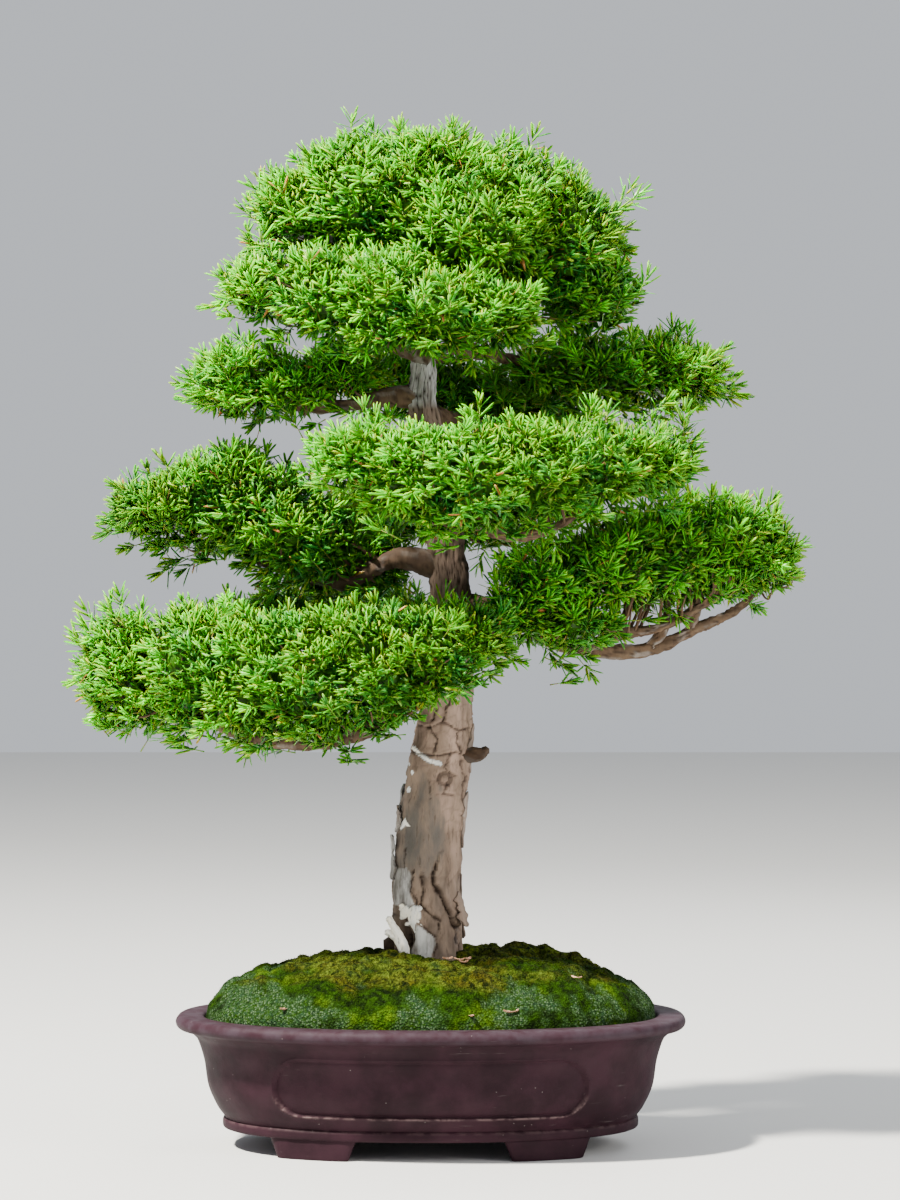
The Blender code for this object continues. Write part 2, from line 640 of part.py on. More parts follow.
def build_trunk(grow=0.0):
    """The trunk from its plain foot in the soil to its tip in the crown."""
    path, radii = smooth_run(TRUNK, TRUNK_RINGS)
    rings = tube_rings(path, radii + grow, TRUNK_SIDES, trunk_lobes)
    tip = path[-1] + (path[-1] - path[-2]) * 0.4 + Vector((0, 0, grow * 2))
    return new_object("trunk", *lofted(rings, (path[0] - Vector((0, 0, grow)), tip), split=True))


def build_wood(material, parent):
    """Trunk, limbs, stubs and dead wood, grown as one piece."""
    trunk = build_trunk()
    limbs = [build_limb(name) for name in LIMBS]
    joined(trunk, limbs, "limbs")
    trunk.name = "tree_wood"
    trunk.parent = parent
    return tidied(trunk, material)


def wood_samples():
    """Points along all the wood, each with its radius, for keeping shoots clear of it."""
    samples = []
    for points in [TRUNK, *LIMBS.values()]:
        path, radii = smooth_run(points, 40)
        samples.append(np.column_stack([path, radii]))
    return np.concatenate(samples)


def core_sizes(clump):
    """A clump's centre, and the half-sizes of its core, which its shoots stand out of."""
    centre = np.array(clump[:3]) * MM
    outer = np.array(clump[3:]) * MM
    return centre, np.maximum(outer - CORE_INSET, outer * CORE_LEAST)


def build_clump(clump):
    """One uneven ball of twigs, for the core of a pad."""
    centre, half = core_sizes(clump)
    shape = bmesh.new()
    bmesh.ops.create_icosphere(shape, subdivisions=3, radius=1.0)
    phase = rng.uniform(0, 6)
    for vert in shape.verts:
        wave = math.sin(4 * vert.co.x + phase) + math.sin(5 * vert.co.y - phase) + math.sin(4 * vert.co.z)
        swell = 1 + CORE_ROUGHNESS * wave / 2
        vert.co = Vector([centre[i] + vert.co[i] * half[i] * swell for i in range(3)])
    mesh = bpy.data.meshes.new("clump")
    shape.to_mesh(mesh)
    shape.free()
    thing = bpy.data.objects.new("clump", mesh)
    bpy.context.scene.collection.objects.link(thing)
    return thing


def build_core(name):
    """The clumps of a pad melted into one lumpy body with few, large facets."""
    clumps = [build_clump(clump) for clump in PADS[name]]
    core = joined(clumps[0], clumps[1:], "clumps")
    remesh = core.modifiers.new("Melt", "REMESH")
    remesh.mode = "VOXEL"
    remesh.voxel_size = CORE_VOXEL
    baked(core)
    area = sum(face.area for face in core.data.polygons)
    core.data.calc_loop_triangles()
    thin = core.modifiers.new("Thin", "DECIMATE")
    thin.ratio = area / CORE_FACET / len(core.data.loop_triangles)
    return baked(core)


def shoot_shape(root, axis, needle, spin):
    """A slim three-sided stem whose upper faces are each raised into a needle."""
    axis = Vector(axis).normalized()
    across = axis.orthogonal().normalized()
    other = axis.cross(across)
    levels = [SHOOT_ROOT + SHOOT_BARE + SHOOT_STEP * i for i in range(SHOOT_LEVELS + 1)]
    verts = [Vector(root)]
    for i, height in enumerate(levels):
        radius = SHOOT_RADIUS * (1 - 0.12 * i)
        for j in range(3):
            turn = spin + (j + 0.5 * i) * 2 * math.pi / 3
            verts.append(Vector(root) + axis * height
                         + radius * (math.cos(turn) * across + math.sin(turn) * other))
    faces = [(0, 2, 1), (0, 3, 2), (0, 1, 3)]
    for i in range(SHOOT_LEVELS):
        low, high = 3 * i + 1, 3 * i + 4
        for j in range(3):
            k = (j + 1) % 3
            for face in ((low + j, low + k, high + j), (low + k, high + k, high + j)):
                faces += raised(verts, face, axis, needle)
    top = 3 * SHOOT_LEVELS + 1
    faces += raised(verts, (top, top + 1, top + 2), axis, needle * 0.9)
    return verts, faces


def raised(verts, face, axis, needle):
    """Raise one triangle into a needle that leans towards the shoot's tip."""
    a, b, c = (verts[i] for i in face)
    normal = (b - a).cross(c - a).normalized()
    lean = (normal * math.cos(NEEDLE_RISE) + axis * math.sin(NEEDLE_RISE)).normalized()
    verts.append((a + b + c) / 3 + lean * needle * rng.uniform(0.85, 1.1))
    point = len(verts) - 1
    return [(face[0], face[1], point), (face[1], face[2], point), (face[2], face[0], point)]


def inside(points, clumps, grow):
    """Which points lie inside any of a list of clumps, each grown by a distance."""
    hit = np.zeros(len(points), dtype=bool)
    for clump in clumps:
        centre = np.array(clump[:3]) * MM
        half = np.array(clump[3:]) * MM + grow
        hit |= (((points - centre) / half) ** 2).sum(axis=1) < 1
    return hit


def even_directions(count):
    """Directions spread evenly over a ball, on a spiral."""
    index = np.arange(count) + 0.5
    z = 1 - 2 * index / count
    turn = math.pi * (1 + math.sqrt(5)) * index
    flat = np.sqrt(1 - z ** 2)
    return np.stack([flat * np.cos(turn), flat * np.sin(turn), z], axis=1)


def wood_distance(points, wood):
    """The least distance from any of the points to the surface of the wood."""
    points = np.atleast_2d(points)
    return (np.linalg.norm(points[:, None, :] - wood[None, :, :3], axis=2) - wood[None, :, 3]).min()


def shoot_sites(name, wood):
    """Where shoots may stand on a pad: on its outside, clear of wood and of other pads."""
    clumps = PADS[name]
    others = [clump for other, group in PADS.items() if other != name for clump in group]
    sites = []
    for clump in clumps:
        centre, half = core_sizes(clump)
        around = [other for other in clumps if other is not clump]
        for way in even_directions(90):
            surface = centre + way * half
            axis = way / half
            axis /= np.linalg.norm(axis)
            axis = axis + SHOOT_TILT * np.array([rng.uniform(-1, 1), rng.uniform(-1, 1), rng.uniform(-0.6, 1)])
            axis /= np.linalg.norm(axis)
            reach = SHOOT_BARE + SHOOT_STEP * SHOOT_LEVELS + NEEDLE_LENGTH * 0.8
            spots = surface + axis * np.linspace(0.2, 1, 5)[:, None] * reach
            if abs(spots[-1][0]) > FOLIAGE_REACH:
                continue
            if wood_distance(surface - axis * SHOOT_ROOT, wood) < 2 * MM:
                continue
            if inside(spots[2:], around, -CORE_INSET * 0.6).any():
                continue
            if inside(spots, others, PAD_CLEARANCE).any():
                continue
            if wood_distance(spots, wood) < NEEDLE_LENGTH * 1.05:
                continue
            sites.append((surface, axis))
    return sites


def spread_out(sites, count):
    """Choose sites far from each other, one after another."""
    places = np.array([surface for surface, axis in sites])
    chosen = [0]
    nearest = np.linalg.norm(places - places[0], axis=1)
    while len(chosen) < min(count, len(sites)):
        best = int(np.argmax(nearest))
        chosen.append(best)
        nearest = np.minimum(nearest, np.linalg.norm(places - places[best], axis=1))
    return [sites[i] for i in chosen]


def pad_size(name):
    """A measure of a pad's outside, for sharing the shoots between pads."""
    return sum((c[3] * c[4] + c[3] * c[5] + c[4] * c[5]) for c in PADS[name])


def build_shoot(site):
    """One shoot as an object of its own, its root sunk in the pad's core."""
    surface, axis = site
    root = surface - axis * SHOOT_ROOT
    verts, faces = shoot_shape(root, axis, NEEDLE_LENGTH, rng.uniform(0, 2))
    return new_object("shoot", verts, faces)


def build_pad(name, wood, material, parent):
    """One pad of foliage: a smaller core with its needled shoots, and sockets for the wood."""
    pad = build_core(name)
    limbs = [limb for limb in LIMBS if limb_meets(LIMBS[limb], name)]
    cutters = [build_limb(limb, WOOD_CLEARANCE) for limb in limbs]
    if limb_meets(TRUNK, name):
        cutters.append(build_trunk(WOOD_CLEARANCE))
    if cutters:
        applied(pad, "DIFFERENCE", collection=gathered("sockets", cutters), solver="MANIFOLD")
    total = sum(pad_size(other) for other in PADS)
    count = round(SHOOT_COUNT * pad_size(name) / total)
    shoots = [build_shoot(site) for site in spread_out(shoot_sites(name, wood), count)]
    joined(pad, shoots, "shoots", solver="MANIFOLD")
    pad.name = "foliage_" + name
    pad.parent = parent
    return tidied(pad, material)


def limb_meets(points, name):
    """Whether a run of wood comes near a pad's core."""
    path, radii = smooth_run(points, 60)
    cores = [(*(c[:3]), *(core_sizes(c)[1] / MM)) for c in PADS[name]]
    return bool(inside(path, cores, radii.max() + 12 * MM).any())


def build_all():
    """Build every piece in its place."""
    clear_scene()
    plant = bpy.data.objects.new("yew_bonsai", None)
    bpy.context.scene.collection.objects.link(plant)
    stoneware = principled("stoneware", (0.085, 0.048, 0.050), 0.55)
    plastic = principled("drain_plastic", (0.02, 0.02, 0.02), 0.5)
    wire = principled("clip_wire", (0.55, 0.30, 0.18), 0.4, 1.0)
    grit = principled("grit", (0.20, 0.17, 0.14), 0.95)
    earth = principled("earth", (0.045, 0.03, 0.02), 0.95)
    moss = principled("moss", (0.12, 0.19, 0.02), 0.95)
    bark = principled("bark", (0.36, 0.26, 0.20), 0.8)
    needles = principled("needles", (0.10, 0.30, 0.03), 0.5)
    build_pot(stoneware, plant)
    for label, side in (("left", -1), ("right", 1)):
        build_screen("drain_screen_" + label, side, plastic, plant)
        build_clip("screen_clip_" + label, side, wire, plant)
    build_grit(grit, plant)
    build_soil(earth, plant)
    build_moss(moss, plant)
    build_wood(bark, plant)
    wood = wood_samples()
    for name in PADS:
        build_pad(name, wood, needles, plant)


build_all()
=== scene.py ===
"""A yew bonsai in its oval stoneware pot, at real size, in metres, with +Z up the trunk."""

import logging
import math
from dataclasses import dataclass, field
from enum import Enum

import bpy
import numpy as np
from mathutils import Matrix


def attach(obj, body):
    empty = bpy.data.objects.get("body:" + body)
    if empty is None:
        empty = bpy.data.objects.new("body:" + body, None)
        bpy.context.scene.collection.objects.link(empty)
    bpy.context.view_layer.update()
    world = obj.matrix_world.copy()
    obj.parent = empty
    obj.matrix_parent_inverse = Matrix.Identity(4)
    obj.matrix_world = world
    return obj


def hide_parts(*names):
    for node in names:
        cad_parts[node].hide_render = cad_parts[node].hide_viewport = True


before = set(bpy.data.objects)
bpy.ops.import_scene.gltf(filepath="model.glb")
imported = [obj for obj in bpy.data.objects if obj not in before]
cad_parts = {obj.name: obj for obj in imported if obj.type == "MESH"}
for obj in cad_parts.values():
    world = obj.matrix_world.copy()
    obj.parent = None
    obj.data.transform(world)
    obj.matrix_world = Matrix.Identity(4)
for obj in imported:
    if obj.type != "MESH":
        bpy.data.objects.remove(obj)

LOG = logging.getLogger("yew_bonsai")
MM = 0.001
TURN = 2 * math.pi
GOLDEN_TURN = math.pi * (3 - math.sqrt(5))
# Patterns of cells repeat upwards after this many rows, and a cell's seed keeps this far off its edge.
CELL_ROWS = 131
CELL_MARGIN = 0.12
# Triangles of a three-sided spike: its foot, then its sides up to the tip.
SPIKE_FACES = np.array([(0, 2, 1), (0, 1, 3), (1, 2, 3), (2, 0, 3)])

Array = np.ndarray
Colour = tuple[float, float, float]
Place = tuple[float, float, float]
Run = list[tuple[float, float, float, float]]
Material = bpy.types.Material
Socket = bpy.types.NodeSocket
Value = Socket | float | Colour

# Pot: the oval's middle, its half-sizes at the rim and its fullness.
POT_X = -17 * MM
RIM_HALF_WIDTH = 225 * MM
RIM_HALF_DEPTH = 165 * MM
OVAL_POWER = 2.25
RIM_TOP = 116 * MM
LIP_WIDTH = 25 * MM
FLOOR_TOP = 27 * MM
FLOOR_HALF_WIDTH = 173 * MM
# The middle of the pot's floor and drain holes, from front to back.
POT_Y = 0.4 * MM

# Mound of soil and moss.
SOIL_EDGE = 99 * MM
MOSS_EDGE = 113 * MM
MOUND_HALF_WIDTH = RIM_HALF_WIDTH - LIP_WIDTH
MOUND_HALF_DEPTH = RIM_HALF_DEPTH - LIP_WIDTH
MOUND_RISE = 49 * MM
MOUND_FULLNESS = 3.0
MOUND_STEEPNESS = 0.62
MOSS_BUMP = 3.2 * MM

# Wood. Each run is points of (x, y, z, radius) in millimetres along its middle.
TRUNK: Run = [
    (-15, 0, 62, 30), (-15, 0, 100, 33), (-16, 0, 135, 35), (-17, 0, 160, 31.5), (-19, 0, 190, 29.5),
    (-20, 0, 225, 29.5), (-18, 0, 265, 29.5), (-13, 0, 312, 28), (-8, 0, 356, 26), (-3, 0, 402, 21.5),
    (0, 0, 445, 18.5), (0, 1, 489, 17.5), (-4, 1, 533, 16), (-11, 1, 577, 15), (-19, 2, 621, 14),
    (-25, 4, 660, 12.5), (-22, 2, 705, 10.5), (-16, 0, 750, 8.5), (-11, 0, 790, 6)]
LIMBS: dict[str, Run] = {
    "lower_left": [(-14, -8, 408, 12), (-46, -38, 384, 11), (-92, -62, 362, 10), (-150, -62, 358, 8),
                   (-190, -48, 366, 6), (-240, -30, 392, 4)],
    "lower_right": [(5, 2, 474, 13), (38, 4, 473, 11), (62, 6, 466, 10), (84, 5, 447, 9),
                    (112, 2, 438, 8), (160, 0, 435, 7.5), (192, 0, 443, 7), (222, 0, 458, 6),
                    (250, 0, 470, 4.5), (278, 2, 494, 2.5)],
    "right_strand": [(122, -2, 438, 6), (148, -9, 450, 5.5), (186, -10, 457, 5), (222, -8, 476, 4.5),
                     (248, -4, 492, 3.5)],
    "mid_left": [(-6, 2, 510, 12), (-45, 2, 518, 10), (-68, 6, 509, 9.5), (-95, 10, 497, 9),
                 (-135, 14, 506, 7.5), (-180, 18, 522, 6), (-230, 16, 556, 3.5)],
    "front_middle": [(-8, -6, 566, 10), (0, -50, 556, 8), (25, -85, 543, 6.5), (62, -98, 536, 5.5),
                     (98, -98, 548, 4.5), (140, -88, 580, 3)],
    "front_left": [(-2, -40, 558, 7.5), (-36, -82, 560, 6), (-62, -92, 578, 4.5)],
    "third_left": [(-22, 4, 662, 10), (-62, 0, 659, 8.5), (-92, 0, 653, 7.5), (-126, 2, 652, 6),
                   (-160, 4, 662, 4.5)],
    "upper_right": [(-20, 4, 698, 8.5), (24, 26, 702, 7.5), (78, 46, 690, 6.5), (128, 50, 678, 5),
                    (190, 48, 678, 3)],
    "back_upper": [(-22, 8, 646, 8.5), (-2, 60, 645, 7.5), (30, 92, 650, 5)],
    "back_upper_left": [(-6, 50, 646, 7), (-24, 84, 658, 5.5), (-34, 108, 668, 4.5)],
    "upper_left": [(-22, -2, 695, 8.5), (-48, -28, 706, 7.5), (-78, -44, 720, 6), (-104, -48, 732, 5)],
    "upper_front": [(-42, -22, 703, 6.5), (-20, -56, 711, 5.5), (8, -72, 718, 4.5)],
    "back_middle": [(-6, 8, 552, 10), (-8, 58, 549, 8.5), (4, 100, 552, 6)],
    "back_low": [(-4, 10, 436, 11), (-18, 58, 440, 9), (-50, 94, 444, 7.5), (-90, 108, 446, 5)],
    "back_right": [(-6, 10, 600, 9), (28, 46, 596, 7.5), (70, 78, 594, 5)],
    "twig_a": [(176, 0, 438, 5), (189, -4, 456, 4.5), (193, -6, 484, 3)],
    "twig_b": [(212, 0, 454, 5), (217, -3, 470, 4.5), (222, -5, 494, 3)],
    "cut_stub": [(2, -4, 342, 8.5), (24, -8, 345, 6.5), (33, -9, 349, 3.5)],
    "deadwood_stem": [(-35, -19, 157, 4), (-38.5, -24, 166, 4), (-41.5, -26, 177, 5.5),
                      (-45, -27, 186, 4.5), (-50, -28, 195, 3.2), (-54, -28, 202, 3)],
    "deadwood_fork": [(-42, -25, 179, 4.5), (-49, -26, 186, 3.2), (-56, -26, 190, 2.8)],
    "deadwood_ledge": [(-24, -22, 190, 6), (-31, -27, 203, 5), (-26, -29, 212, 2.5)],
    "root_left": [(-30, -8, 164, 9), (-46, -12, 163, 7), (-55, -13, 162, 5)],
    "root_knob": [(-36, 4, 168, 7), (-49, 4, 174, 8.5), (-56, 4, 178, 6.5)],
    "root_front": [(-8, -14, 158, 14), (-2, -28, 155, 8), (2, -37, 152, 5)],
    "root_right": [(2, 4, 158, 12), (16, 6, 153, 8), (25, 7, 150, 5)],
}
# Which limbs carry each pad's fine branches.
PAD_LIMBS: dict[str, tuple[str, ...]] = {
    "crown": (), "upper_left": ("upper_left", "upper_front"), "third_left": ("third_left",),
    "upper_right": ("upper_right",), "back_upper": ("back_upper", "back_upper_left"),
    "mid_left": ("mid_left",), "front_middle": ("front_middle", "front_left"),
    "back_middle": ("back_middle", "back_right"), "lower_right": ("lower_right", "right_strand"),
    "lower_left": ("lower_left",), "back_low": ("back_low",),
}
BARE_WOOD = ("deadwood_stem", "deadwood_fork", "deadwood_ledge")
ROOTS = ("root_front", "root_right")
# How dark some limbs' bark is painted, where it isn't the usual share: painted shade on the knob, the cut
# stub and the mid-left limb.
LIMB_SHADE = {"root_knob": 0.75, "cut_stub": 0.75, "mid_left": 0.72, "root_front": 0.0, "root_right": 0.0}
# How many fine branches each clump of a pad has, where it isn't the usual number.
PAD_BRANCHES = {"lower_right": 17, "mid_left": 9, "front_middle": 9, "lower_left": 9}

# What share of the shoots a pad lacks underneath, where it isn't the usual share.
THIN_BELOW = {"lower_left": 0.08, "front_middle": 0.35, "mid_left": 0.35}
# Painted light and shade on each pad's green, as a change in how fresh it looks: its middle in millimetres,
# then the change left and right.
PAD_PAINTED_LIGHT = {
    "lower_left": (-150, 0.32, -0.42), "mid_left": (-150, -0.34, -0.28), "crown": (10, 0.16, -0.10),
    "upper_left": (-40, 0.34, 0.0), "front_middle": (20, 0.28, -0.12), "upper_right": (150, 0.04, 0.10),
    "lower_right": (150, 0.10, -0.06), "third_left": (-140, 0.30, 0.14),
}

# Foliage. Each pad is a few round clumps: centre and half-sizes in millimetres.
PADS: dict[str, list[tuple[float, ...]]] = {
    "crown": [(-15, 0, 824, 86, 78, 80), (-86, -6, 832, 66, 66, 68), (-130, -8, 822, 50, 56, 48),
              (48, 4, 820, 76, 74, 72), (102, 6, 796, 62, 66, 66), (122, 12, 756, 48, 56, 48),
              (-20, 60, 792, 84, 58, 58), (24, -48, 798, 74, 54, 54)],
    "upper_left": [(-150, -40, 755, 56, 50, 42), (-104, -58, 748, 56, 52, 50),
                   (-56, -76, 738, 54, 52, 52), (-8, -90, 728, 54, 48, 46), (38, -88, 726, 50, 44, 40)],
    "third_left": [(-190, 2, 674, 50, 50, 42), (-146, 4, 669, 48, 52, 38), (-98, 16, 684, 46, 48, 32)],
    "upper_right": [(92, 46, 688, 46, 46, 36), (136, 56, 687, 56, 60, 43), (186, 50, 684, 56, 58, 42),
                    (222, 42, 680, 38, 46, 34)],
    "back_upper": [(42, 114, 662, 64, 54, 42), (-10, 119, 674, 60, 52, 42), (-54, 122, 684, 50, 48, 38),
                   (86, 116, 648, 50, 46, 36)],
    "mid_left": [(-268, 8, 563, 46, 48, 36), (-228, 10, 565, 52, 56, 50), (-190, 10, 568, 56, 58, 57),
                 (-146, 8, 542, 56, 58, 56), (-112, 24, 526, 50, 52, 50), (-80, 40, 514, 48, 48, 44)],
    "front_middle": [(-76, -104, 602, 50, 50, 40), (-26, -117, 588, 58, 54, 52), (26, -120, 584, 60, 56, 54),
                     (78, -116, 592, 60, 56, 50), (130, -94, 598, 60, 56, 46), (174, -66, 600, 46, 50, 40)],
    "back_middle": [(10, 120, 562, 70, 54, 44), (70, 112, 572, 60, 52, 42), (-54, 124, 560, 60, 48, 38)],
    "lower_right": [(96, -10, 500, 56, 56, 44), (68, -36, 472, 46, 40, 42), (114, -34, 462, 44, 38, 36),
                    (150, -4, 512, 60, 60, 52), (204, 4, 522, 60, 62, 56), (250, 6, 526, 56, 56, 54),
                    (280, 4, 520, 38, 46, 44)],
    "lower_left": [(-286, -16, 418, 50, 54, 58), (-224, -34, 424, 60, 62, 64), (-168, -58, 414, 64, 62, 66),
                   (-116, -78, 412, 62, 60, 64), (-66, -92, 426, 56, 54, 58), (-20, -98, 438, 48, 46, 48),
                   (20, -88, 450, 38, 40, 36)],
    "back_low": [(-106, 116, 456, 64, 54, 46), (-50, 120, 458, 58, 50, 42), (-158, 104, 458, 52, 48, 42)],
}


# Shapes worked out with arrays.

def smoothstep(value: Array, low: float, high: float) -> Array:
    """Rise smoothly from 0 at low to 1 at high: t * t * (3 - 2t) of the clipped share t."""
    share = np.clip((value - low) / (high - low), 0, 1)
    return share * share * (3 - 2 * share)


def between(value: Array, opening: tuple[float, float], closing: tuple[float, float]) -> Array:
    """Mask of a band, 1 between two soft edges and 0 outside them."""
    return smoothstep(value, *opening) * smoothstep(value, *closing)


def unit(vectors: Array) -> Array:
    """Scale vectors to length one."""
    return vectors / np.maximum(np.linalg.norm(vectors, axis=-1, keepdims=True), 1e-12)


def square_to(vectors: Array, way: Array) -> Array:
    """Take from vectors the part that runs along unit directions."""
    return vectors - way * (way * vectors).sum(axis=-1, keepdims=True)


def bell(distance: Array, width: float) -> Array:
    """A bell curve: exp(-(distance / width)^2)."""
    return np.exp(-(distance / width) ** 2)


def signed_power(value: Array, power: float) -> Array:
    """Raise the size of a value to a power and keep its sign."""
    return np.sign(value) * np.abs(value) ** power


def joined(*parts: Array | float) -> Array:
    """Put coordinates or masks together along a new last axis."""
    return np.stack(np.broadcast_arrays(*parts), axis=-1)


def full_turn(count: int) -> Array:
    """Angles spread evenly over one turn."""
    return np.linspace(0, TURN, count, endpoint=False)


def ripple(points: Array, wavelength: float, seed: int) -> Array:
    """Soft noise: the sum of six sine waves in random directions, scaled to about -1 to 1.

    Args:
        points: Places, with their coordinates along the last axis.
        wavelength: Typical distance between two crests.
        seed: Seed of the directions and phases.

    Returns:
        One value for each place.
    """
    waves = 6
    rng = np.random.default_rng(seed)
    ways = unit(rng.normal(size=(waves, points.shape[-1]))) * rng.uniform(0.7, 1.5, (waves, 1))
    phases = rng.uniform(0, TURN, waves)
    total = np.sin(points @ ways.T * (TURN / wavelength) + phases).sum(axis=-1)
    return total / math.sqrt(waves) / 1.2


def cells(u: Array, v: Array, size: tuple[float, float], around: int, seed: int) -> tuple[Array, ...]:
    """Cells round scattered seed points: each place belongs to its nearest seed.

    Args:
        u: First coordinate, which repeats after `around` cells.
        v: Second coordinate.
        size: Width and height of a cell.
        around: How many cells lie side by side before they repeat.
        seed: Seed of the scattered points.

    Returns:
        Distance to the nearest seed, how much further the second nearest is, the cell's own random
        value, and the place's height above its seed, all in cells.
    """
    table = np.random.default_rng(seed).random((CELL_ROWS, around, 3))
    room = 1 - 2 * CELL_MARGIN
    across, along = u / size[0], v / size[1]
    cell_u, cell_v = np.floor(across).astype(int), np.floor(along).astype(int)
    best = np.full(across.shape, np.inf)
    second, tone, above = best, np.zeros(across.shape), np.zeros(across.shape)
    for step_u in (-1, 0, 1):
        for step_v in (-1, 0, 1):
            at_u, at_v = cell_u + step_u, cell_v + step_v
            pick = table[at_v % CELL_ROWS, at_u % around]
            gap_u = across - at_u - CELL_MARGIN - room * pick[..., 0]
            gap_v = along - at_v - CELL_MARGIN - room * pick[..., 1]
            reach = np.hypot(gap_u, gap_v)
            nearer = reach < best
            second = np.where(nearer, best, np.minimum(second, reach))
            tone = np.where(nearer, pick[..., 2], tone)
            above = np.where(nearer, gap_v, above)
            best = np.where(nearer, reach, best)
    return best, second - best, tone, above


def even_directions(count: int, spin: float) -> Array:
    """Directions spread evenly over a ball: equal steps in height, golden turns around.

    Args:
        count: How many.
        spin: A turn that they all share, in radians.

    Returns:
        Unit vectors, one a row.
    """
    index = np.arange(count) + 0.5
    height = 1 - 2 * index / count
    turn = GOLDEN_TURN * index + spin
    flat = np.sqrt(1 - height ** 2)
    return np.stack([flat * np.cos(turn), flat * np.sin(turn), height], axis=1)


def curve_through(points: Run | list[tuple[float, ...]], shares: Array) -> Array:
    """A smooth curve through control points, a cubic between each two that uses their neighbours.

    Args:
        points: Control points, in millimetres.
        shares: Where to read the curve, from 0 at its start to 1 at its end.

    Returns:
        The points read, in metres, one row for each share.
    """
    control = np.array(points, dtype=float) * MM
    steps = np.asarray(shares) * (len(control) - 1)
    index = np.clip(steps.astype(int), 0, len(control) - 2)
    t = (steps - index)[:, None]
    p1, p2 = control[index], control[index + 1]
    p0 = np.where(index[:, None] > 0, control[np.maximum(index - 1, 0)], 2 * p1 - p2)
    last = (index + 2 > len(control) - 1)[:, None]
    p3 = np.where(last, 2 * p2 - p1, control[np.minimum(index + 2, len(control) - 1)])
    return 0.5 * (2 * p1 + (p2 - p0) * t + (2 * p0 - 5 * p1 + 4 * p2 - p3) * t ** 2
                  + (3 * p1 - p0 - 3 * p2 + p3) * t ** 3)


def beside_run(x: Array, z: Array, path: Array) -> tuple[Array, Array]:
    """How far places lie from a run of straight lines on the front, and on which side of it.

    Args:
        x: Places across.
        z: Their heights.
        path: Corners of the run, as rows of x and z.

    Returns:
        The distance to the nearest line, and 1 or -1 for its side.
    """
    least, side = np.full(x.shape, 1.0), np.zeros(x.shape)
    for start, stop in zip(path[:-1], path[1:]):
        run = stop - start
        share = np.clip(((x - start[0]) * run[0] + (z - start[1]) * run[1]) / (run @ run), 0, 1)
        gap_x, gap_z = x - start[0] - share * run[0], z - start[1] - share * run[1]
        reach = np.hypot(gap_x, gap_z)
        side = np.where(reach < least, np.sign(run[0] * gap_z - run[1] * gap_x), side)
        least = np.minimum(least, reach)
    return least, side


def depth_within(x: Array, z: Array, outline: Array) -> Array:
    """How far places lie inside a closed outline on the front, negative outside it.

    Args:
        x: Places across.
        z: Their heights.
        outline: Its corners, as rows of x and z.

    Returns:
        The distance to the outline, its sign found by counting how many edges lie to the right.
    """
    closed = np.concatenate([outline, outline[:1]])
    odd = np.zeros(x.shape, dtype=bool)
    for (x0, z0), (x1, z1) in zip(closed[:-1], closed[1:]):
        if z1 != z0:
            odd ^= ((z0 > z) != (z1 > z)) & (x < x0 + (z - z0) * (x1 - x0) / (z1 - z0))
    gap = beside_run(x, z, closed)[0]
    return np.where(odd, gap, -gap)


def pot_oval(inset: Array, z: Array, angle: Array) -> Array:
    """Points on the pot's oval, a superellipse a little fuller than an ellipse.

    Args:
        inset: How far the oval lies inside the rim.
        z: Its height.
        angle: Angles round it, which broadcast against inset and z.

    Returns:
        Points with x, y and z along the last axis.
    """
    power = 2 / OVAL_POWER
    x = POT_X + (RIM_HALF_WIDTH - inset) * signed_power(np.cos(angle), power)
    y = (RIM_HALF_DEPTH - inset) * signed_power(np.sin(angle), power)
    return joined(x, y, z)


def inner_inset(z: float) -> float:
    """How far the pot's straight inner wall lies inside the rim at a height.

    Args:
        z: The height.

    Returns:
        The inset, on a straight line from the floor's to the lip's.
    """
    at_floor = RIM_HALF_WIDTH - FLOOR_HALF_WIDTH
    share = (z - FLOOR_TOP) / (RIM_TOP - FLOOR_TOP)
    return at_floor + (LIP_WIDTH - at_floor) * share


def mound_rise(reach: Array) -> Array:
    """How far the mound rises at a share of the way to its edge: (1 - share^fullness)^steepness."""
    return MOUND_RISE * (1 - reach ** MOUND_FULLNESS) ** MOUND_STEEPNESS


@dataclass
class Patch:
    """A surface: its points, its four- and three-sided faces, and four masks at each point."""

    points: Array
    quads: Array
    tris: Array
    marks: Array

    @staticmethod
    def merged(parts: list["Patch"]) -> "Patch":
        """Put several surfaces into one."""
        starts = np.cumsum([0] + [len(part.points) for part in parts[:-1]])
        return Patch(np.concatenate([part.points for part in parts]),
                     np.concatenate([part.quads + start for part, start in zip(parts, starts)]),
                     np.concatenate([part.tris + start for part, start in zip(parts, starts)]),
                     np.concatenate([part.marks for part in parts]))

    def triangle_count(self) -> int:
        """How many triangles the surface has."""
        return 2 * len(self.quads) + len(self.tris)


def no_faces(corners: int) -> Array:
    """An empty list of faces."""
    return np.zeros((0, corners), dtype=np.int64)


def grid_quads(rows: int, columns: int, tyre: bool = False) -> Array:
    """Faces of a grid that closes on itself along its columns, and along its rows for a tyre.

    Args:
        rows: How many rings.
        columns: How many points in a ring.
        tyre: Whether the last ring joins the first.

    Returns:
        The four points of each face, one face a row.
    """
    row = np.arange(rows if tyre else rows - 1)[:, None] * columns
    column = np.arange(columns)
    above, beside = (row + columns) % (rows * columns), (column + 1) % columns
    return joined(row + column, row + beside, above + beside, above + column).reshape(-1, 4)


